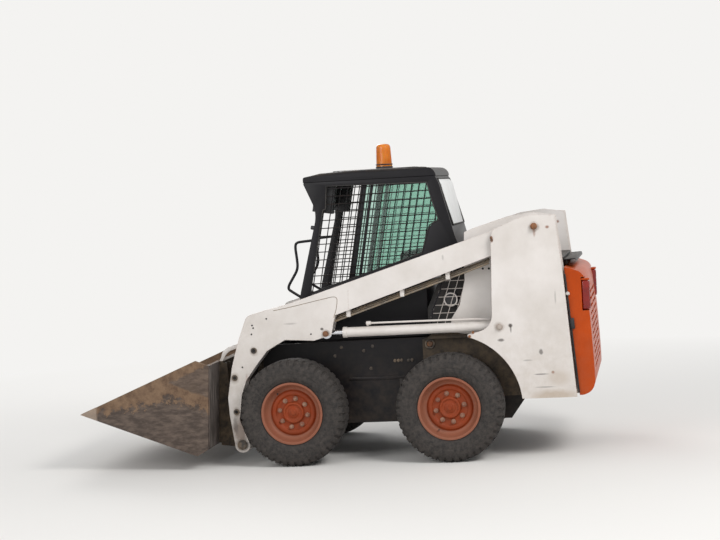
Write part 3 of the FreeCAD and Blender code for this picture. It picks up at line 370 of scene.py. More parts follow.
FINISHES = {
    "pale": enamel("pale enamel on steel plate", "#d6d0cb", "#c4bdb6", DRY_SOIL, "#8c5a3c",
                   0.38, {"dust": 0.45, "edge": 0.55, "rust": 0.5, "reach": 1.2}, PALE_MARKS),
    "orange": enamel("orange enamel on pressed steel", "#b24200", "#9c3800", DRY_SOIL,
                     "#8a5138", 0.34, {"dust": 0.14, "edge": 0.4, "rust": 0.25, "reach": 1.2, "coat": 0.0, "specular": 0.22}),
    "wheel": enamel("orange enamel on wheel steel", "#8e3407", "#702909", "#75543f",
                    "#9a6a58", 0.5, {"dust": 0.34, "edge": 0.7, "rust": 0.35, "reach": 1.3,
                                     "coat": 0.0, "specular": 0.25, "flange": "#90604c"}),
    "black": enamel("black enamel on welded steel", "#0f0e11", "#171519", "#6b5c4c",
                    "#4b3a30", 0.4, {"dust": 0.3, "edge": 0.4, "rust": 0.25, "reach": 0.9, "coat": 0.0, "specular": 0.22}),
    "rubber": rubber("tyre rubber with dust"),
    "bucket steel": bucket_steel("bucket plate with dried soil"),
    "chrome": bare_metal("hard chromed rod", "#d9dade", "#c4c6cc", 0.06, 0.16, 1.0),
    "iron": bare_metal("engine castings", "#6a6b6c", "#3f3c3a", 0.5, 0.7, 0.6, "#4a4038"),
    "plastic": moulded("black moulded plastic", "#1c1c1e", "#29282a", 0.5),
    "amber": moulded("amber acrylic lens", "#f08a14", "#e27608", 0.12,
                     {"IOR": 1.49, "Transmission Weight": 0.35, "Subsurface Weight": 0.3}),
    "vinyl": moulded("black seat vinyl", "#222124", "#2e2c2d", 0.48),
    "rubber trim": moulded("black rubber moulding", "#1d1c1c", "#35312e", 0.7),
    "red": moulded("red acrylic lamp lens", "#8e1c14", "#7a1610", 0.16,
                   {"IOR": 1.49, "Transmission Weight": 0.2}),
    "line": bare_metal("zinc plated hydraulic tube", "#8c857b", "#675d54", 0.35, 0.6, 0.7,
                       "#8d7d69"),
    "rusty bolt": bare_metal("rusty steel fastener", "#6d5a4c", "#4f382a", 0.55, 0.8, 0.4,
                             "#8a5a38"),
    "worn nut": bare_metal("painted wheel nut, worn to steel", "#8a5a48", "#6f4334", 0.5, 0.75,
                           0.3, "#9a7a66"),
    "dusty bolt": bare_metal("dusty steel fastener", "#55504b", "#3b3633", 0.5, 0.75, 0.5,
                             "#7b6b5a"),
    "dusty sheet": enamel("black enamel under road dust", "#2b2724", "#3a332d", "#75644f",
                          "#4b3a30", 0.6, {"dust": 0.8, "edge": 0.2, "rust": 0.2, "reach": 1.6,
                                         "coat": 0.0, "specular": 0.2}),
    "dark": moulded("dark unlit recess", "#161414", "#221e1b", 0.85),
    "side glass": glass("green tinted side glass", "#bce0d3", 1.0, 0.02, 0.06),
    # The rear pane's near-white colour is partly dust and partly a painted reflection of the bright sky.
    "rear glass": glass("rear glass white with dust and painted sky reflection", "#f4f6f6", 0.12, 0.3, 0.5),
}

# Start of a solid's name, its finish
DRESS = (
    ("tyre", "rubber"), ("rim", "wheel"), ("hull", "black"), ("axle", "black"),
    ("tower", "pale"), ("engine_block", "iron"), ("engine_cover", "black"), ("arm", "pale"),
    ("tilt_mounts", "pale"), ("lift_barrel", "pale"), ("lift_rod", "chrome"),
    ("tilt_barrel", "black"), ("tilt_rod", "chrome"), ("coupler", "dusty sheet"),
    ("bucket", "bucket steel"), ("cutting", "bucket steel"), ("cab", "black"),
    ("beacon_base", "plastic"), ("beacon_lens", "amber"), ("operator_seat", "vinyl"),
    ("seat_bar", "black"), ("tailgate", "orange"), ("tailgate_hinges", "black"),
    ("side_screens", "black"), ("side_glass", "side glass"), ("rear_window", "rear glass"),
    ("grab", "black"), ("steering", "black"), ("tail_lamps", "red"), ("arm_lines", "line"),
    ("coupler_levers", "pale"),
)


def dress_solids():
    """Give every solid its finish, by the longest matching start of its name."""
    for name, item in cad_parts.items():
        start, finish = max((row for row in DRESS if name.startswith(row[0])), key=lambda r: len(r[0]))
        item.data.materials.clear()
        item.data.materials.append(FINISHES[finish])

def fresh():
    """Leave edit mode with nothing selected."""
    if bpy.context.object and bpy.context.object.mode != "OBJECT":
        bpy.ops.object.mode_set(mode="OBJECT")
    bpy.ops.object.select_all(action="DESELECT")


def block(size, place, turn=(0, 0, 0)):
    """Start a piece as a box: size and place in millimetres, turn in degrees."""
    fresh()
    bpy.ops.mesh.primitive_cube_add(size=1, location=spot(*place),
                                    rotation=[math.radians(a) for a in turn],
                                    scale=[s / 1000 for s in size])
    bpy.ops.object.transform_apply(location=False, rotation=False, scale=True)
    return bpy.context.object


def drum(radius, depth, place, turn=(0, 0, 0), sides=32):
    """Start a piece as a round or many-sided bar along its own Z."""
    fresh()
    bpy.ops.mesh.primitive_cylinder_add(vertices=sides, radius=radius / 1000, depth=depth / 1000,
                                        location=spot(*place),
                                        rotation=[math.radians(a) for a in turn])
    return bpy.context.object


def ring(outer, thick, place, turn=(0, 0, 0), sides=40):
    """Start a piece as a round rubber or wire ring about its own Z."""
    fresh()
    bpy.ops.mesh.primitive_torus_add(major_radius=outer / 1000, minor_radius=thick / 1000,
                                     major_segments=sides, minor_segments=8,
                                     location=spot(*place),
                                     rotation=[math.radians(a) for a in turn])
    return bpy.context.object


def choose(item, kind, test):
    """Enter edit mode with the faces, edges or corners chosen that pass a test.

    A face is tested by its middle and normal, an edge or corner by its place, in metres.
    """
    fresh()
    mesh = item.data
    for parts in (mesh.polygons, mesh.edges, mesh.vertices):
        for part in parts:
            part.select = False
    if kind == "FACE":
        for face in mesh.polygons:
            face.select = bool(test(face.center, face.normal))
    elif kind == "EDGE":
        for edge in mesh.edges:
            ends = [mesh.vertices[corner].co for corner in edge.vertices]
            edge.select = bool(test((ends[0] + ends[1]) / 2, ends[1] - ends[0]))
    else:
        for corner in mesh.vertices:
            corner.select = bool(test(corner.co))
    item.select_set(True)
    bpy.context.view_layer.objects.active = item
    bpy.ops.object.mode_set(mode="EDIT")
    bpy.ops.mesh.select_mode(type=kind)


def apply(item, kind, **settings):
    """Add a modifier with its settings and apply it."""
    fresh()
    item.select_set(True)
    bpy.context.view_layer.objects.active = item
    modifier = item.modifiers.new(kind.lower(), kind)
    for name, value in settings.items():
        setattr(modifier, name, value)
    bpy.ops.object.modifier_apply(modifier=modifier.name)


def soften(item, width, segments=2, angle=35):
    """Round the hard edges of a piece, in millimetres."""
    apply(item, "BEVEL", width=width / 1000, segments=segments, limit_method="ANGLE",
          angle_limit=math.radians(angle))


def finish(item, name, look, body, angle=35):
    """Set a piece's place into its mesh, dress it and let it ride on its body."""
    fresh()
    item.select_set(True)
    bpy.context.view_layer.objects.active = item
    bpy.ops.object.transform_apply(location=True, rotation=True, scale=True)
    bpy.ops.object.shade_smooth_by_angle(angle=math.radians(angle))
    item.name = name
    item.data.name = name
    item.data.materials.clear()
    item.data.materials.append(FINISHES[look])
    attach(item, body)
    return item


def join(items):
    """Make one piece of several."""
    fresh()
    for item in items:
        item.select_set(True)
    bpy.context.view_layer.objects.active = items[0]
    bpy.ops.object.join()
    return bpy.context.object


def repeat(model, places):
    """Copy a finished model to each place and turn, and join the copies.

    The model stands at its own origin; a place is in millimetres, a turn in degrees.
    """
    copies = []
    for x, y, z, *turn in places:
        copy = model.copy()
        copy.data = model.data.copy()
        bpy.context.scene.collection.objects.link(copy)
        copy.location = spot(x, y, z)
        copy.rotation_euler = [math.radians(a) for a in (turn or (0, 0, 0))]
        copies.append(copy)
    bpy.data.objects.remove(model)
    for copy in copies:
        fresh()
        copy.select_set(True)
        bpy.context.view_layer.objects.active = copy
        bpy.ops.object.transform_apply(location=True, rotation=True, scale=True)
    return join(copies)


def both(places):
    """The same places on the right side, turned to face outwards there."""
    other = []
    for x, y, z, *turn in places:
        turn = list(turn) or [0, 0, 0]
        other.append((x, -y, z, -turn[0], turn[1], -turn[2]))
    return list(places) + other


def tube(name, look, body, points, radius, bend="NURBS"):
    """A bent tube, hose or bead of weld through points in millimetres."""
    fresh()
    bpy.ops.curve.primitive_nurbs_path_add(location=(0, 0, 0))
    item = bpy.context.object
    curve = item.data
    curve.splines.clear()
    line = curve.splines.new(bend)
    line.points.add(len(points) - 1)
    for place, point in zip(line.points, points):
        place.co = (*spot(*point), 1)
    if bend == "NURBS":
        line.order_u = 3
        line.use_endpoint_u = True
    curve.resolution_u = 6
    curve.bevel_depth = radius / 1000
    curve.bevel_resolution = 2
    curve.use_fill_caps = True
    bpy.ops.object.convert(target="MESH")
    return finish(bpy.context.object, name, look, body, 50)


def hex_bolt(size, height):
    """A hexagon bolt head on its washer, standing on its origin along Z."""
    head = drum(size, height, (-MIDDLE * 1000, 0, height * 0.75), sides=6)
    choose(head, "FACE", lambda middle, normal: normal.z > 0.9)
    bpy.ops.mesh.inset(thickness=size * 0.16 / 1000)
    bpy.ops.transform.translate(value=(0, 0, height * 0.12 / 1000))
    washer = drum(size * 1.25, height * 0.3, (-MIDDLE * 1000, 0, height * 0.15), sides=20)
    choose(washer, "FACE", lambda middle, normal: normal.z > 0.9)
    bpy.ops.mesh.inset(thickness=size * 0.08 / 1000)
    bpy.ops.transform.translate(value=(0, 0, height * 0.05 / 1000))
    both_parts = join([head, washer])
    fresh()
    both_parts.select_set(True)
    bpy.context.view_layer.objects.active = both_parts
    bpy.ops.object.transform_apply(location=True, rotation=True, scale=True)
    return both_parts


def shaded_hole(radius):
    """A drilled hole's bottom, painted dark as the shade inside the hole, with a raised worn rim, facing
    along Z.
    """
    disc = drum(radius, 1.2, (-MIDDLE * 1000, 0, 0.4), sides=20)
    choose(disc, "FACE", lambda middle, normal: normal.z > 0.9)
    bpy.ops.mesh.inset(thickness=radius * 0.15 / 1000)
    bpy.ops.mesh.extrude_region_move(TRANSFORM_OT_translate={"value": (0, 0, -0.0008)})
    fresh()
    disc.select_set(True)
    bpy.context.view_layer.objects.active = disc
    bpy.ops.object.transform_apply(location=True, rotation=True, scale=True)
    return disc


def bush(radius):
    """A hardened bush pressed into the plate: a raised ring, standing on its origin along Z."""
    collar = drum(radius, 5, (-MIDDLE * 1000, 0, 1.5), sides=32)
    choose(collar, "FACE", lambda middle, normal: normal.z > 0.9)
    bpy.ops.mesh.inset(thickness=radius * 0.35 / 1000)
    bpy.ops.mesh.extrude_region_move(TRANSFORM_OT_translate={"value": (0, 0, -0.003)})
    soften(collar, 1, 2)
    fresh()
    collar.select_set(True)
    bpy.context.view_layer.objects.active = collar
    bpy.ops.object.transform_apply(location=True, rotation=True, scale=True)
    return collar


# Half of the tyre's section in millimetres: from the middle of the tyre, from the axle
TYRE_SECTION = (
    (0, 380), (45, 379.5), (88, 377), (106, 370), (117, 358), (124, 343), (128.5, 326),
    (131, 306), (131.5, 288), (129.5, 286), (130.5, 282), (129, 262), (124, 243), (121, 241),
    (119, 234), (111, 228), (104, 226), (102, 216),
)
LUGS = 42


def tyres():
    """Worn block tyres: notches packed round both shoulders, a smooth side with faint rings."""
    section = list(TYRE_SECTION) + [(-y, r) for y, r in TYRE_SECTION[:0:-1]]
    for end in ("front", "rear"):
        for side in ("left", "right"):
            low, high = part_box("tyre_%s_%s" % (end, side))
            fresh()
            bpy.ops.mesh.primitive_circle_add(vertices=len(section), radius=0.1)
            tyre = bpy.context.object
            for corner, (across, height) in zip(tyre.data.vertices, section):
                corner.co = (0, across / 1000, height / 1000)
            choose(tyre, "EDGE", lambda middle, way: True)
            bpy.ops.mesh.spin(steps=LUGS * 3, angle=2 * math.pi, center=(0, 0, 0), axis=(0, 1, 0))
            bpy.ops.mesh.select_all(action="SELECT")
            bpy.ops.mesh.remove_doubles(threshold=0.0002)
            bpy.ops.mesh.normals_make_consistent(inside=False)

            def notch(middle, normal):
                height = math.hypot(middle.x, middle.z)
                column = int((math.atan2(middle.x, middle.z) / math.pi + 1) * LUGS * 1.5)
                shift = 0 if middle.y > 0 else 1
                return (column + shift) % 3 == 0 and height > 0.348 and abs(middle.y) > 0.05

            choose(tyre, "FACE", notch)
            bpy.ops.mesh.extrude_region_shrink_fatten(
                TRANSFORM_OT_shrink_fatten={"value": -0.008})
            choose(tyre, "FACE", lambda middle, normal: abs(middle.y) < 0.02
                   and math.hypot(middle.x, middle.z) > 0.36
                   and int((math.atan2(middle.x, middle.z) / math.pi + 1) * LUGS * 1.5) % 3 == 1)
            bpy.ops.mesh.inset(thickness=0.003)
            bpy.ops.mesh.extrude_region_shrink_fatten(
                TRANSFORM_OT_shrink_fatten={"value": -0.006})
            soften(tyre, 2.2, 2, 42)
            tyre.location = ((low.x + high.x) / 2, (low.y + high.y) / 2, (low.z + high.z) / 2)
            finish(tyre, "tread_tyre_%s_%s" % (end, side), "rubber",
                   "wheel_%s_%s" % (end, side), 50)
            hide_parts("tyre_%s_%s" % (end, side))


def wheel_trim():
    """Wheel nuts with their studs, a hub plug and a valve on each rim."""
    for end, axle, lead in (("front", 560.5, 11), ("rear", -560.5, 34)):
        for side, sign in (("left", 1), ("right", -1)):
            nut = hex_bolt(13.5, 15)
            stud = drum(7.5, 26, (-MIDDLE * 1000, 0, 13), sides=16)
            soften(stud, 1.5, 2)
            nut = join([nut, stud])
            facing = -90 * sign
            places = []
            for index in range(8):
                angle = math.radians(lead + 45 * index)
                places.append((axle + 101.5 * math.cos(angle), 747.2 * sign,
                               380 + 101.5 * math.sin(angle), facing, 0, 0))
            nuts = repeat(nut, places)
            finish(nuts, "wheel_nuts_%s_%s" % (end, side), "worn nut",
                   "wheel_%s_%s" % (end, side))
            plug = drum(22, 9, (axle, 766 * sign, 380), (90, 0, 0), 28)
            soften(plug, 3, 3)
            choose(plug, "FACE", lambda middle, normal: abs(normal.z) > 0.9)
            bpy.ops.mesh.inset(thickness=0.006)
            bpy.ops.mesh.extrude_region_move(TRANSFORM_OT_translate={"value": (0, 0, 0)})
            finish(plug, "hub_plug_%s_%s" % (end, side), "wheel", "wheel_%s_%s" % (end, side))
            tilt = math.radians(lead + 42 if end == "front" else lead - 95)
            spot_x, spot_z = axle + 176 * math.cos(tilt), 380 + 176 * math.sin(tilt)
            tube("valve_%s_%s" % (end, side), "rubber", "wheel_%s_%s" % (end, side), (
                (spot_x, 757 * sign, spot_z), (spot_x, 774 * sign, spot_z),
                (axle + 168 * math.cos(tilt), 784 * sign, 380 + 168 * math.sin(tilt))), 4.5)


def tower_trim():
    """Pivot nuts, bolts, screws, holes and the strips by the tailgate on the towers."""
    nut = hex_bolt(19, 16)
    stub = drum(9, 24, (-MIDDLE * 1000, 0, 12), sides=24)
    soften(stub, 3, 2)
    nut = join([nut, stub])
    nuts = repeat(nut, both([(-1207, 757, 1616, -90, 0, 14)]))
    finish(nuts, "arm_pivot_nuts", "rusty bolt", "chassis")
    small = hex_bolt(16, 10)
    small = repeat(small, both([(-935, 753, 930, -90, 0, 8)]))
    finish(small, "lift_pin_bolts", "pale", "chassis")
    screws = repeat(hex_bolt(8, 6), both([
        (-912, 745, 1534, -90, 0, 0), (-909, 745, 1551, -90, 0, 20), (-723, 745, 872, -90, 0, 5),
        (-748, 745, 899, -90, 0, 25)]))
    finish(screws, "tower_screws", "rusty bolt", "chassis")
    # Two holes in the inner tower plates, their insides painted dark as shade
    holes = repeat(shaded_hole(8), both([(-819, 540.1, 1330, -90, 0, 0), (-862, 540.1, 1328, -90, 0, 0)]))
    finish(holes, "tower_hole_shades", "dark", "chassis")
    # Folded black strip that closes the gap beside the tailgate; its black is painted shade for the dark gap
    # between tower and tailgate
    for side, sign in (("left", 1), ("right", -1)):
        seal = block((12, 20, 830), (-1430, 700 * sign, 860), (0, 4.1, 0))
        soften(seal, 3, 2)
        finish(seal, "tower_gap_shade_strip_" + side, "rubber trim", "chassis")


def arm_trim():
    """Weld seams, bolts, holes, bushes and pin washers of the lift arms."""
    for side, sign in (("left", 1), ("right", -1)):
        # The knee weld takes the darker tube finish: a raised bead with painted shadow along the edge of the
        # knee plate
        tube("knee_weld_shadow_" + side, "line", "lift_arms", (
            (675, 704 * sign, 1108), (560, 704 * sign, 1126), (400, 704 * sign, 1158),
            (300, 704 * sign, 1177), (232, 704 * sign, 1191), (206, 704 * sign, 1178),
            (212, 704 * sign, 1130), (222, 704 * sign, 1085), (240, 704 * sign, 1040)), 2.6)
        tube("beam_weld_" + side, "pale", "lift_arms",
             ((125, 704 * sign, 1236), (128, 704 * sign, 1190), (131, 704 * sign, 1092)), 2.2)
        tube("cross_tube_weld_" + side, "pale", "lift_arms", [
            (745 + 52 * math.cos(a * math.pi / 8), 584 * sign, 1012 + 52 * math.sin(a * math.pi / 8))
            for a in range(17)], 6)
    # Screw holes in the arms, painted dark as the shade inside them
    holes = repeat(shaded_hole(6), both([
        (730, 705.2, 1053, -90, 0, 0), (837, 705.2, 1010, -90, 0, 0),
        (830, 705.2, 990, -90, 0, 0), (845, 705.2, 946, -90, 0, 0),
        (926, 705.2, 712, -90, 0, 0), (411, 705.2, 930, -90, 0, 0)]))
    finish(holes, "arm_screw_holes", "dark", "lift_arms")
    bushes = repeat(bush(22), both([
        (835, 705, 828, -90, 0, 0), (988, 705, 637, -90, 0, 0), (988, 705, 391, -90, 0, 0)]))
    finish(bushes, "arm_bushes", "dusty bolt", "lift_arms")
    # Bores of the bushes, painted dark as the shade inside them
    cores = repeat(shaded_hole(11), both([
        (835, 708, 828, -90, 0, 0), (988, 708, 637, -90, 0, 0), (988, 708, 391, -90, 0, 0)]))
    finish(cores, "arm_bush_bores", "dark", "lift_arms")
    caps = repeat(hex_bolt(17, 12), both([(304, 709, 928, -90, 0, 10)]))
    finish(caps, "rod_pin_bolts", "rusty bolt", "lift_arms")
    for side, sign in (("left", 1), ("right", -1)):
        plate = drum(36, 6, (958, 716 * sign, 153), (90, 0, 0), 36)
        soften(plate, 2, 2)
        choose(plate, "FACE", lambda middle, normal: abs(normal.z) > 0.9)
        bpy.ops.mesh.inset(thickness=0.010)
        bpy.ops.mesh.extrude_region_move(TRANSFORM_OT_translate={"value": (0, 0, 0)})
        finish(plate, "coupler_pin_washer_" + side, "dusty bolt", "coupler_bucket")


def lines_trim():
    """A fitting on each lift cylinder barrel."""
    for side, sign in (("left", 1), ("right", -1)):
        elbow = drum(14, 34, (2, 645 * sign, 987), (0, 90, 0), 24)
        soften(elbow, 2, 2)
        finish(elbow, "barrel_fitting_" + side, "pale", "lift_barrel_" + side)


def hull_trim():
    """Bolts, port rings and plugs along the hull sides."""
    places = []
    for x, z in ((-138, 690), (-163, 690), (-186, 690), (-238, 690), (-262, 690), (86, 770),
                 (20, 800), (-390, 790), (250, 800), (300, 740), (-300, 620), (40, 640)):
        places.append((x, 430.5, z, -90, 0, 17))
    bolts = repeat(hex_bolt(10, 7), both(places))
    finish(bolts, "hull_bolts", "dusty bolt", "chassis")
    for side, sign in (("left", 1), ("right", -1)):
        boss = ring(30, 7, (-416, 549 * sign, 812), (90, 0, 0))
        finish(boss, "hull_port_ring_" + side, "dusty bolt", "chassis")
        plug = drum(22, 12, (-416, 549 * sign, 812), (90, 0, 0), 6)
        soften(plug, 2, 2)
        finish(plug, "hull_port_plug_" + side, "rusty bolt", "chassis")


def gate_trim():
    """Latch and round knob on the tailgate."""
    latch = block((34, 16, 74), (-1434, 706, 930), (0, 4, 0))
    choose(latch, "FACE", lambda middle, normal: normal.y > 0.9)
    bpy.ops.mesh.inset(thickness=0.006)
    bpy.ops.mesh.extrude_region_move(TRANSFORM_OT_translate={"value": (0, 0.006, 0)})
    soften(latch, 2, 2)
    finish(latch, "gate_latch", "plastic", "tailgate")
    knob = drum(14, 16, (-1414, 708, 1138), (90, 0, 0), 28)
    choose(knob, "FACE", lambda middle, normal: normal.z < -0.9)
    bpy.ops.mesh.inset(thickness=0.004)
    bpy.ops.mesh.extrude_region_move(TRANSFORM_OT_translate={"value": (0, 0, -0.004)})
    soften(knob, 2.5, 3)
    finish(knob, "gate_knob", "pale", "chassis")


def cab_trim():
    """Roof ribs, knob, controls and floor mat of the cab."""
    for index, y in enumerate((-250, -125, 125, 250)):
        rib = block((620, 46, 10), (-40, y, 2075))
        soften(rib, 6, 3)
        choose(rib, "FACE", lambda middle, normal: normal.z > 0.9)
        bpy.ops.transform.resize(value=(0.96, 0.6, 1), center_override=spot(-40, y, 2080))
        finish(rib, "roof_rib_%d" % index, "black", "cab")
    knob = drum(15, 30, (418, 385, 1677), (0, 78, 0), 24)
    soften(knob, 4, 3)
    finish(knob, "post_knob", "plastic", "cab")
    for side, sign in (("left", 1), ("right", -1)):
        pod = block((150, 74, 210), (330, 322 * sign, 1885), (0, -10, 0))
        choose(pod, "FACE", lambda middle, normal: normal.x < -0.9)
        bpy.ops.mesh.inset(thickness=0.012)
        bpy.ops.mesh.extrude_region_move(TRANSFORM_OT_translate={"value": (0.008, 0, 0)})
        soften(pod, 6, 3)
        finish(pod, "switch_pod_" + side, "plastic", "cab")
        switches = repeat(switch(), [(262, (322 + across) * sign, height, 0, -90, 0)
                                     for across in (-18, 18) for height in (1830, 1870, 1910)])
        finish(switches, "pod_switches_" + side, "plastic", "cab")
    mat = block((330, 640, 8), (470, 0, 335))
    choose(mat, "FACE", lambda middle, normal: normal.z > 0.9)
    bpy.ops.mesh.subdivide(number_cuts=14)
    bpy.ops.mesh.inset(thickness=0.003, use_individual=True)
    bpy.ops.mesh.extrude_faces_move(TRANSFORM_OT_shrink_fatten={"value": 0.003})
    finish(mat, "floor_mat", "rubber trim", "chassis")
    for side, sign in (("left", 1), ("right", -1)):
        pedal = block((150, 110, 14), (590, 200 * sign, 372), (0, -28, 0))
        choose(pedal, "FACE", lambda middle, normal: normal.z > 0.9)
        bpy.ops.mesh.subdivide(number_cuts=6)
        bpy.ops.mesh.inset(thickness=0.003, use_individual=True)
        bpy.ops.mesh.extrude_faces_move(TRANSFORM_OT_shrink_fatten={"value": 0.003})
        finish(pedal, "foot_pedal_" + side, "dark", "chassis")


def switch():
    """A rocker switch, standing on its origin along Z."""
    rocker = block((22, 12, 8), (-MIDDLE * 1000, 0, 3))
    choose(rocker, "FACE", lambda middle, normal: normal.z > 0.9)
    bpy.ops.transform.rotate(value=0.3, orient_axis="Y",
                             center_override=(0, 0, 0.007))
    soften(rocker, 1.5, 2)
    fresh()
    rocker.select_set(True)
    bpy.context.view_layer.objects.active = rocker
    bpy.ops.object.transform_apply(location=True, rotation=True, scale=True)
    return rocker


def beacon_trim():
    """The rotating reflector and its motor inside the amber lens, and the collar under it."""
    reflector = drum(30, 70, (-78, 0, 2150), (0, 0, 0), 28)
    choose(reflector, "FACE", lambda middle, normal: normal.x > 0.2)
    bpy.ops.transform.resize(value=(0.4, 1, 1), center_override=spot(-78, 0, 2150))
    soften(reflector, 3, 2)
    finish(reflector, "beacon_reflector", "chrome", "cab")
    motor = drum(38, 14, (-70, 0, 2117), (0, 0, 0), 32)
    soften(motor, 4, 3)
    finish(motor, "beacon_motor", "plastic", "cab")
    collar = ring(60, 4, (-70, 0, 2110), (0, 0, 0), 64)
    finish(collar, "beacon_collar", "rubber trim", "cab")


def bucket_trim():
    """Back stiffeners, bolts of the cutting edge and weld seams of the bucket."""
    for side, sign in (("left", 1), ("right", -1)):
        brim = panel(((2090, 436), (2060, 412), (1246, 742), (1236, 784)), 864 * sign, 850 * sign)
        soften(brim, 2, 2)
        finish(brim, "bucket_side_brim_" + side, "bucket steel", "coupler_bucket")
        corner = panel(((2107, 429), (2090, 438), (1992, 478), (1980, 452), (1988, 395)),
                       864.5 * sign, 846 * sign)
        soften(corner, 3, 2)
        finish(corner, "bucket_corner_" + side, "bucket steel", "coupler_bucket")
    for index, z in enumerate((250, 640)):
        bar = block((26, 520, 60), (1168 - (z - 152) * 0.062, 0, z), (0, -3.5, 0))
        soften(bar, 6, 2)
        finish(bar, "bucket_back_bar_%d" % index, "bucket steel", "coupler_bucket")
    bolts = repeat(hex_bolt(15, 10), [(2018, y, 419, 0, 14, 0) for y in range(-750, 751, 150)])
    finish(bolts, "edge_bolts", "bucket steel", "coupler_bucket")
    for side, sign in (("left", 1), ("right", -1)):
        tube("bucket_weld_" + side, "bucket steel", "coupler_bucket", (
            (1985, 857 * sign, 434), (1700, 857 * sign, 318), (1430, 857 * sign, 208),
            (1300, 857 * sign, 160)), 4)
        tube("bucket_back_weld_" + side, "bucket steel", "coupler_bucket", (
            (1166, 850 * sign, 170), (1150, 850 * sign, 440), (1133, 850 * sign, 735)), 4, "POLY")


def seat_pads():
    """The seat's two cushions, padded vinyl over foam, with a moulded shell behind them."""
    low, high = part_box("operator_seat")
    shell = block((60, 430, 560), (-290, 0, 1190), (0, 4, 0))
    soften(shell, 18, 3)
    shell = join([shell, block((420, 430, 120), (40, 0, 950), (0, 0, 0))])
    soften(shell, 10, 2)
    finish(shell, "seat_shell", "plastic", "cab")
    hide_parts("operator_seat")
    # Name, size, place, lean
    for name, size, place, lean in (
        ("seat_cushion", (440, 420, 90), (15, 0, 1045), -4),
        ("seat_backrest", (80, 400, 440), (-228, 0, 1270), 7),
    ):
        pad = block([s - 26 for s in size], place, (0, lean, 0))
        soften(pad, 26, 4)
        apply(pad, "REMESH", mode="VOXEL", voxel_size=0.006)
        fresh()
        pad.select_set(True)
        bpy.context.view_layer.objects.active = pad
        cloth = pad.modifiers.new("cloth", "CLOTH")
        cloth.settings.use_pressure = True
        cloth.settings.uniform_pressure_force = 4
        cloth.settings.effector_weights.gravity = 0
        before = [corner.co.copy() for corner in pad.data.vertices]
        scene = bpy.context.scene
        for frame_number in range(1, 21):
            scene.frame_set(frame_number)
        bpy.ops.object.modifier_apply(modifier=cloth.name)
        scene.frame_set(1)
        for corner, old in zip(pad.data.vertices, before):
            step = corner.co - old
            if step.length > 0.012:
                corner.co = old + step.normalized() * 0.012
        choose(pad, "FACE", lambda middle, normal: True)
        bpy.ops.mesh.vertices_smooth(factor=0.5, repeat=4)
        apply(pad, "SUBSURF", levels=1, render_levels=1)
        finish(pad, name, "vinyl", "cab", 60)

def panel(outline, low, high):
    """Start a piece as a plate: its outline in millimetres seen from the side, low to high in Y.

    A third value at a corner rounds it.
    """
    fresh()
    bpy.ops.mesh.primitive_circle_add(vertices=len(outline), radius=1, fill_type="NGON")
    item = bpy.context.object
    for corner, (x, z, *rest) in zip(item.data.vertices, outline):
        corner.co = spot(x, low, z)
    for x, z, *rounding in outline:
        if rounding:
            place = spot(x, low, z)
            choose(item, "VERT", lambda at: (at - place).length < 0.0005)
            bpy.ops.mesh.bevel(offset=rounding[0] / 1000, offset_type="OFFSET", segments=6,
                               affect="VERTICES")
    choose(item, "FACE", lambda middle, normal: True)
    bpy.ops.mesh.extrude_region_move(
        TRANSFORM_OT_translate={"value": (0, (high - low) / 1000, 0)})
    bpy.ops.mesh.select_all(action="SELECT")
    bpy.ops.mesh.normals_make_consistent(inside=False)
    fresh()
    return item


def carve(item, *cutters):
    """Take other shapes out of a piece."""
    for cutter in cutters:
        apply(item, "BOOLEAN", operation="DIFFERENCE", object=cutter, solver="EXACT")
        bpy.data.objects.remove(cutter)


def inside_runs(outline, start, end):
    """The stretches of a straight line inside an outline, both as X and Z in millimetres."""
    start, end = Vector(start), Vector(end)
    corners = [Vector(corner[:2]) for corner in outline]
    marks = []
    for a, b in zip(corners, corners[1:] + corners[:1]):
        hit = intersect_line_line_2d(start, end, a, b)
        if hit:
            marks.append((hit - start).length)
    marks.sort()
    way = (end - start).normalized()
    return [(start + way * a, start + way * b) for a, b in zip(marks[::2], marks[1::2])]


def wires(name, look, body, runs, y, radius):
    """Round wires between pairs of places on one upright plane, as one piece."""
    fresh()
    bpy.ops.curve.primitive_nurbs_path_add(location=(0, 0, 0))
    item = bpy.context.object
    curve = item.data
    curve.splines.clear()
    for start, end in runs:
        line = curve.splines.new("POLY")
        line.points.add(1)
        line.points[0].co = (*spot(start[0], y, start[1]), 1)
        line.points[1].co = (*spot(end[0], y, end[1]), 1)
    curve.bevel_depth = radius / 1000
    curve.bevel_resolution = 1
    curve.use_fill_caps = True
    bpy.ops.object.convert(target="MESH")
    return finish(bpy.context.object, name, look, body, 60)


# Side window of the cab: X, Z and rounding of each corner, from the front foot round
CAB_WINDOW = (
    (335, 1800), (314, 1809, 20), (300, 1973, 12), (-434, 1961, 14), (-466, 1825, 40),
    (-506, 1688, 30), (-437, 1653, 40), (-372, 1454, 30), (463, 1203, 30),
)
CAB_EAVES, CAB_HALF, CAB_INSIDE = 2008, 400, 366


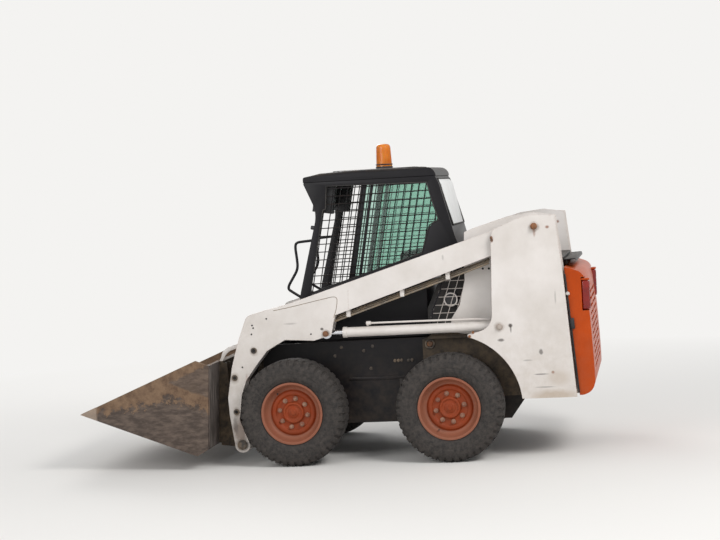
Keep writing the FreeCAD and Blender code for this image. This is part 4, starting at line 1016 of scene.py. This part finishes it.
def cab_shell():
    """The welded cab: side frames rounded to the touch, open front, rear wall, roof, posts."""
    shell = panel((
        (-495, 2005), (-521, 1946), (-616, 1567), (-651, 1470, 50), (-651, 1394, 36),
        (-585, 1394), (-392, 1260, 50), (-392, 858), (560, 858), (540, 1186, 36), (393, 1735, 26),
        (393, 1813, 26), (469, 1994), (464, CAB_EAVES), (-485, CAB_EAVES),
    ), -CAB_HALF, CAB_HALF)
    room = panel((
        (-611, 1460), (-573, 1567), (-477, 1948), (-455, 1978), (431, 1978), (367, 1813),
        (695, 1813), (695, 848), (260, 848), (260, 878), (-352, 878), (-352, 1295),
    ), -CAB_INSIDE, CAB_INSIDE)
    carve(shell, room, panel(CAB_WINDOW, -CAB_HALF - 5, CAB_HALF + 5))
    rear = block((230, 680, 326), (-560, 0, 1813))
    soften(rear, 24, 3)
    carve(shell, rear)
    soften(shell, 13, 3, 50)
    finish(shell, "cab_side_frames", "black", "cab")
    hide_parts("cab_frame")
    roof = panel((
        (-502, 2004), (-498, 2066, 58), (-168, 2077), (86, 2077), (344, 2068), (471, 2043, 14),
        (470, 2004),
    ), -CAB_HALF, CAB_HALF)
    choose(roof, "EDGE", lambda middle, way: abs(abs(middle.y) - 0.4) < 0.001 and middle.z > 2.02
           and abs(way.x) > 0.02)
    bpy.ops.mesh.bevel(offset=0.030, segments=5, affect="EDGES")
    finish(roof, "cab_roof_pressing", "black", "cab")
    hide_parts("cab_roof")
    for side, sign in (("left", 1), ("right", -1)):
        posts = [panel(((foot, 1215), (foot + wide, 1215), (head + wide, 1998), (head, 1998)),
                       372 * sign, 384 * sign)
                 for foot, head, wide in ((144, -2, 44), (98, -50, 22))]
        posts = join(posts)
        soften(posts, 4, 2)
        finish(posts, "window_posts_" + side, "black", "cab")


def cab_glazing():
    """Wire guards over the side windows, tinted panes behind them and the rear window, near white from dust
    and from a painted reflection of the sky.
    """
    for side, sign in (("left", 1), ("right", -1)):
        runs = []
        for index in range(20):
            head = -545 + 52 * index
            runs += inside_runs(CAB_WINDOW, (head + 170, 1160), (head, CAB_EAVES))
        wires("guard_uprights_" + side, "black", "cab", runs, 390 * sign, 4)
        runs = []
        for index in range(14):
            height = 1215 + 57 * index
            runs += inside_runs(CAB_WINDOW, (-700, height + 6), (700, height - 6))
        wires("guard_levels_" + side, "black", "cab", runs, 393 * sign, 4)
        pane = panel(((-498, 1676), (-430, 1290), (160, 1240), (8, 1990), (-450, 1985)),
                     CAB_INSIDE * sign - 3 * sign, CAB_INSIDE * sign + 2 * sign)
        soften(pane, 1, 1)
        finish(pane, "side_pane_" + side, "side glass", "cab")
    # Rear pane: its near-white finish paints the sky's reflection as well as dust.
    pane = panel(((-598, 1648), (-534, 1943), (-509, 1980), (-501, 1980), (-526, 1943),
                  (-590, 1648)), -342, 342)
    soften(pane, 2, 2)
    finish(pane, "rear_pane", "rear glass", "cab")
    edge = [(-602, y, z) for y, z in ((344, 1646), (-344, 1646))]
    head = [(-508, y, z) for y, z in ((-344, 1982), (344, 1982))]
    tube("rear_pane_seal", "rubber trim", "cab", edge + head + edge[:1], 7, "POLY")
    for side, sign in (("left", 1), ("right", -1)):
        tube("grab_handle_" + side, "black", "cab", (
            (425, 382 * sign, 1585), (500, 382 * sign, 1580), (548, 382 * sign, 1576),
            (560, 382 * sign, 1545), (551, 382 * sign, 1460), (548, 382 * sign, 1382),
            (590, 382 * sign, 1316), (636, 382 * sign, 1244), (600, 382 * sign, 1216),
            (538, 382 * sign, 1176)), 10)
        loop = [(x, 401 * sign, z) for x, z, *rest in CAB_WINDOW]
        tube("window_seal_" + side, "rubber trim", "cab", loop + loop[:1], 5, "POLY")


def louvred_gate():
    """The pressed tailgate with two fields of louvres and recessed tall lamps."""
    gate = panel((
        (-1398, 1322), (-1455, 1306, 30), (-1525, 1277, 40), (-1541, 1197), (-1552, 1060),
        (-1560, 964), (-1575, 600, 120), (-1573, 514), (-1555, 458, 34), (-1485, 426, 26),
        (-1462, 432), (-1462, 464),
    ), -700, 700)
    hollow = panel((
        (-1358, 1307), (-1451, 1287), (-1513, 1263, 30), (-1527, 1197), (-1544, 964),
        (-1561, 600), (-1559, 514), (-1535, 466, 20), (-1475, 442), (-1358, 446),
    ), -575, 575)
    slots = []
    for column in (-260, 260):
        for row in range(12):
            slots.append(block((120, 460, 20), (-1560, column, 604 + 46 * row)))
    lamps = [block((66, 130, 233), (-1542, 656 * sign, 1132)) for sign in (1, -1)]
    carve(gate, hollow, join(slots), join(lamps))
    soften(gate, 9, 3, 50)
    finish(gate, "tailgate_pressing", "orange", "tailgate")
    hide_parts("tailgate")
    for side, sign in (("left", 1), ("right", -1)):
        lamp = block((52, 96, 205), (-1536, 644 * sign, 1123))
        soften(lamp, 14, 4)
        choose(lamp, "FACE", lambda middle, normal: normal.x < -0.9)
        bpy.ops.mesh.subdivide(number_cuts=2)
        bpy.ops.mesh.inset(thickness=0.002, use_individual=True)
        bpy.ops.mesh.extrude_faces_move(TRANSFORM_OT_shrink_fatten={"value": -0.003})
        finish(lamp, "tail_lamp_" + side, "red", "tailgate")
        cap = block((58, 102, 14), (-1537, 644 * sign, 1232))
        soften(cap, 5, 3)
        finish(cap, "lamp_cap_" + side, "orange", "tailgate")
    fan = drum(170, 30, (-1462, 0, 850), (0, 90, 0), 40)
    soften(fan, 6, 2)
    finish(fan, "cooler_fan_ring", "dark", "chassis")
    edge = block((70, 1050, 8), (-1424, 0, 1366), (0, 3, 0))
    choose(edge, "FACE", lambda middle, normal: normal.x < -0.9)
    bpy.ops.mesh.extrude_region_move(TRANSFORM_OT_translate={"value": (-0.012, 0, -0.002)})
    bpy.ops.mesh.extrude_region_move(TRANSFORM_OT_translate={"value": (-0.003, 0, -0.014)})
    soften(edge, 3, 2)
    finish(edge, "cover_rolled_edge", "black", "chassis")


# Section of a rim, out from the middle of the tyre and out from the axle
RIM_SECTION = (
    (110, 222), (110, 207), (104, 203), (92, 200), (74, 196), (52, 187), (44, 178), (41, 170),
    (42, 162), (52, 154), (54, 150), (54, 132), (50, 126), (44, 122), (44, 80), (58, 74), (61, 70),
    (61, 60), (54, 56), (54, 38), (60, 34), (62, 20), (62, 0), (20, 0), (20, 160), (28, 196),
    (-110, 202), (-110, 222), (-104, 222), (-104, 208), (100, 208), (104, 222),
)


def wheel_rims():
    """Dished wheel discs in their rims, with a stepped hub."""
    for end in ("front", "rear"):
        for side, sign in (("left", 1), ("right", -1)):
            low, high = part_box("rim_%s_%s" % (end, side))
            fresh()
            bpy.ops.mesh.primitive_circle_add(vertices=len(RIM_SECTION), radius=0.1)
            rim = bpy.context.object
            for corner, (out, radius) in zip(rim.data.vertices, RIM_SECTION):
                corner.co = (0, out * sign / 1000, radius / 1000)
            choose(rim, "EDGE", lambda middle, way: True)
            bpy.ops.mesh.spin(steps=72, angle=2 * math.pi, center=(0, 0, 0), axis=(0, 1, 0))
            bpy.ops.mesh.select_all(action="SELECT")
            bpy.ops.mesh.remove_doubles(threshold=0.0003)
            bpy.ops.mesh.normals_make_consistent(inside=False)
            soften(rim, 2, 2, 28)
            rim.location = ((low.x + high.x) / 2, (low.y + high.y) / 2, (low.z + high.z) / 2)
            finish(rim, "wheel_disc_%s_%s" % (end, side), "wheel",
                   "wheel_%s_%s" % (end, side), 40)
            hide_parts("rim_%s_%s" % (end, side))


def side_fillers():
    """What closes the gap between cab and tower: wire screen, ledge, liner of the wheel arch, whose dark
    finish is partly dirt and partly painted shade.
    """
    frame_line = ((-707, 1340), (-539, 1340), (-495, 1178), (-437, 1056), (-417, 880), (-567, 880),
                  (-589, 976, 50), (-679, 1124, 60))
    clear = ((-690, 1326), (-549, 1326), (-508, 1173), (-451, 1052), (-432, 894), (-556, 894),
             (-576, 980, 50), (-664, 1130, 60))
    liner = [(-560 + 506 * math.cos(math.radians(angle)), 380 + 506 * math.sin(math.radians(angle)))
             for angle in range(175, 66, -6)]
    for side, sign in (("left", 1), ("right", -1)):
        frame_plate = panel(frame_line, 520 * sign, 528 * sign)
        carve(frame_plate, panel(clear, 500 * sign, 540 * sign))
        soften(frame_plate, 2, 2)
        finish(frame_plate, "screen_frame_" + side, "black", "chassis")
        runs = []
        for index in range(6):
            head = -727 + 57 * index
            runs += inside_runs(frame_line, (head, 1346), (head + 173, 866))
        for index in range(8):
            runs += inside_runs(frame_line, (-760, 912 + 57 * index), (-380, 912 + 57 * index))
        wires("screen_mesh_" + side, "pale", "chassis", runs, 523 * sign, 2.6)
        ledge = panel(((-712, 850), (-700, 874), (-417, 874), (-405, 850)), 428 * sign, 600 * sign)
        soften(ledge, 5, 2)
        finish(ledge, "fender_ledge_" + side, "dusty sheet", "chassis")
        # Dark sheet inside the wheel arch: its darkness is partly dirt and partly painted shade.
        arch = panel([(-560, 424)] + [(-1065, 424)] + liner + [(-362, 848), (-362, 424)],
                     541 * sign, 546 * sign)
        soften(arch, 1.5, 1)
        finish(arch, "arch_liner_painted_shade_" + side, "dusty sheet", "chassis")
        ridge = panel(((-230, 556), (-222, 580), (200, 580), (208, 556)), 428 * sign, 438 * sign)
        soften(ridge, 4, 2)
        finish(ridge, "hull_ridge_" + side, "black", "chassis")
        rib = panel(((-205, 300), (-205, 560), (-165, 560), (-175, 300)), 428 * sign, 440 * sign)
        soften(rib, 4, 2)
        finish(rib, "hull_rib_" + side, "black", "chassis")
        flap = panel(((-700, 1366), (-545, 1366), (-400, 1060), (-400, 872), (-700, 872)),
                     452 * sign, 457 * sign)
        soften(flap, 2, 2)
        finish(flap, "screen_flap_" + side, "rubber trim", "chassis")
        canister = drum(52, 36, (-575, 478 * sign, 1118), (90, 0, 0), 40)
        soften(canister, 6, 3)
        finish(canister, "filter_canister_" + side, "plastic", "chassis")
        tube("screen_ring_" + side, "pale", "chassis", [
            (-575 + 46 * math.cos(a * math.pi / 10), 505 * sign, 1118 + 46 * math.sin(a * math.pi / 10))
            for a in range(21)], 5)


def arm_lines():
    """Three hydraulic tubes under each arm in their clamps, and one along each lift cylinder."""
    for side, sign in (("left", 1), ("right", -1)):
        for index, (y, drop) in enumerate(((627, -8), (646, 4), (665, 19))):
            tube("arm_line_%s_%d" % (side, index), "line", "lift_arms", (
                (-876, y * sign, 1392 - drop), (-782, y * sign, 1359 - drop),
                (-420, y * sign, 1243 - drop), (-100, y * sign, 1140 - drop),
                (180, y * sign, 1050 - drop), (225, y * sign, 1034 - drop),
                (258, y * sign, 1012), (266, y * sign, 975)), 7)
        clamp = block((30, 68, 50), (-MIDDLE * 1000, 0, -5), (0, 17.9, 0))
        choose(clamp, "FACE", lambda middle, normal: normal.z < -0.8)
        bpy.ops.mesh.inset(thickness=0.004)
        bpy.ops.transform.translate(value=(0, 0, -0.003))
        soften(clamp, 3, 2)
        clamps = repeat(clamp, [(x, 645 * sign, z) for x, z in
                                ((138, 1066), (-254, 1192), (-584, 1298))])
        finish(clamps, "line_clamps_" + side, "pale", "lift_arms")
        tube("barrel_line_" + side, "pale", "lift_barrel_" + side, (
            (10, 645 * sign, 968), (8, 645 * sign, 984), (-10, 645 * sign, 987),
            (-420, 645 * sign, 986), (-820, 645 * sign, 984), (-862, 645 * sign, 978)), 7)
        gland = drum(39, 30, (172, 645 * sign, 928.2), (0, 90, 0), 32)
        soften(gland, 3, 2)
        choose(gland, "FACE", lambda middle, normal: normal.z > 0.9)
        bpy.ops.mesh.inset(thickness=0.006)
        finish(gland, "gland_nut_" + side, "pale", "lift_barrel_" + side)


def levers():
    """Locking levers of the quick coupler, and the steering levers in the cab."""
    for side, sign in (("left", 1), ("right", -1)):
        bar = panel(((1108, 746), (1130, 746), (1106, 812, 10), (1070, 844, 12), (992, 868, 8),
                     (986, 840, 8), (1052, 818, 10), (1080, 794, 10)), 546 * sign, 560 * sign)
        soften(bar, 3, 2)
        finish(bar, "coupler_lever_" + side, "pale", "coupler_bucket")
        tube("steering_stem_" + side, "black", "cab", (
            (233, 290 * sign, 880), (234, 290 * sign, 960), (240, 290 * sign, 1012),
            (262, 290 * sign, 1056), (296, 290 * sign, 1120)), 10)
        boot = drum(26, 30, (233, 290 * sign, 892), (0, 0, 0), 24)
        choose(boot, "FACE", lambda middle, normal: normal.z > 0.9)
        bpy.ops.transform.resize(value=(0.5, 0.5, 1),
                                 center_override=spot(233, 290 * sign, 907))
        soften(boot, 4, 2)
        finish(boot, "lever_boot_" + side, "rubber trim", "cab")
        grip = drum(17, 96, (279, 290 * sign, 1090), (0, 28, 0), 24)
        soften(grip, 8, 3)
        finish(grip, "lever_grip_" + side, "rubber trim", "cab")


def beacon_dome():
    """The amber lens: slightly tapered, round-shouldered, with fine upright ribs."""
    dome = drum(59, 166, (-70, 0, 2179), (0, 0, 0), 72)
    choose(dome, "FACE", lambda middle, normal: normal.z > 0.9)
    bpy.ops.transform.resize(value=(0.88, 0.88, 1), center_override=spot(-70, 0, 2262))
    bpy.ops.mesh.bevel(offset=0.026, segments=6, affect="EDGES")
    choose(dome, "FACE", lambda middle, normal: abs(normal.z) < 0.3 and middle.z < 2.23)
    bpy.ops.mesh.inset(thickness=0.0012, use_individual=True)
    bpy.ops.mesh.extrude_faces_move(TRANSFORM_OT_shrink_fatten={"value": -0.0008})
    finish(dome, "beacon_amber_dome", "amber", "cab", 40)
    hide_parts("beacon_lens")

def studio():
    """Pale floor, a bright world and soft lamps."""
    bpy.ops.mesh.primitive_plane_add(size=80, location=(0, 0, 0))
    floor = bpy.context.object
    floor.name = "studio_floor"
    material = bpy.data.materials.new("pale studio floor")
    material.use_nodes = True
    tree = material.node_tree
    tree.nodes.clear()
    place = put(tree, "TexCoord").outputs["Object"]
    away = put(tree, "VectorMath", {"operation": "LENGTH"}, {0: place}).outputs["Value"]
    fade = put(tree, "MapRange", {"From Min": 2.6, "From Max": 8.0}, {"Value": away}).outputs[0]
    paint = put(tree, "BsdfPrincipled", {"Base Color": tint("#e4e1dc"), "Roughness": 0.9})
    white = put(tree, "Emission", {"Color": tint("#f4f3f1"), "Strength": 1.0})
    both = put(tree, "MixShader", {}, {0: fade, 1: paint.outputs[0], 2: white.outputs[0]})
    put(tree, "OutputMaterial", {}, {"Surface": both.outputs[0]})
    floor.data.materials.append(material)
    world = bpy.data.worlds.new("studio")
    bpy.context.scene.world = world
    world.use_nodes = True
    tree = world.node_tree
    tree.nodes.clear()
    seen = put(tree, "LightPath")
    straight = put(tree, "Math", {"operation": "MAXIMUM"},
                   {0: seen.outputs["Is Camera Ray"], 1: seen.outputs["Is Transmission Ray"]})
    straight = put(tree, "Math", {"operation": "MAXIMUM"},
                   {0: seen.outputs["Is Glossy Ray"], 1: straight.outputs[0]})
    soft = put(tree, "Background", {"Color": tint("#eef1f6"), "Strength": 0.62})
    back = put(tree, "Background", {"Color": tint("#f4f3f1"), "Strength": 1.0})
    mixed = put(tree, "MixShader", {}, {0: straight.outputs[0], 1: soft.outputs[0],
                                        2: back.outputs[0]})
    put(tree, "OutputWorld", {}, {"Surface": mixed.outputs[0]})
    # Name, place, size, watts
    for name, place, size, watts in (
        ("key", (-5.5, 5.0, 6.5), 3.0, 420),
        ("fill", (5.0, 9.0, 4.5), 6.0, 330),
        ("rim", (3.0, -7.0, 5.5), 4.0, 240),
    ):
        lamp = bpy.data.lights.new(name, "AREA")
        lamp.size = size
        lamp.energy = watts
        holder = bpy.data.objects.new(name, lamp)
        bpy.context.scene.collection.objects.link(holder)
        holder.location = place
        aim = Vector((0, 0, 0.9)) - Vector(place)
        holder.rotation_euler = aim.to_track_quat("-Z", "Y").to_euler()


def camera():
    """The photograph's view: from the left, a little behind the middle, slightly rolled."""
    yaw, pitch, roll = math.radians(10.149), math.radians(2.8135), math.radians(-3.2404)
    ahead = Vector((math.sin(yaw) * math.cos(pitch), -math.cos(yaw) * math.cos(pitch),
                    -math.sin(pitch)))
    across = ahead.cross(Vector((0, 0, 1))).normalized()
    upward = across.cross(ahead)
    right = math.cos(roll) * across + math.sin(roll) * upward
    top = math.cos(roll) * upward - math.sin(roll) * across
    lens = bpy.data.cameras.new("photograph")
    lens.lens = 83.41
    lens.sensor_width = 36
    lens.clip_end = 200
    holder = bpy.data.objects.new("photograph", lens)
    bpy.context.scene.collection.objects.link(holder)
    turn = Matrix((right, top, -ahead)).transposed().to_4x4()
    holder.matrix_world = Matrix.Translation(spot(-2039.5, 12273.3, 1946.8)) @ turn
    bpy.context.scene.camera = holder


bpy.ops.object.select_all(action="DESELECT")
camera()
dress_solids()
for trim in (tyres, wheel_rims, wheel_trim, cab_shell, cab_glazing, louvred_gate, side_fillers,
             arm_lines, levers, beacon_dome, tower_trim, arm_trim, lines_trim, hull_trim, gate_trim, cab_trim,
             beacon_trim, bucket_trim, seat_pads):
    trim()
studio()
bpy.context.scene.view_settings.view_transform = "Standard"
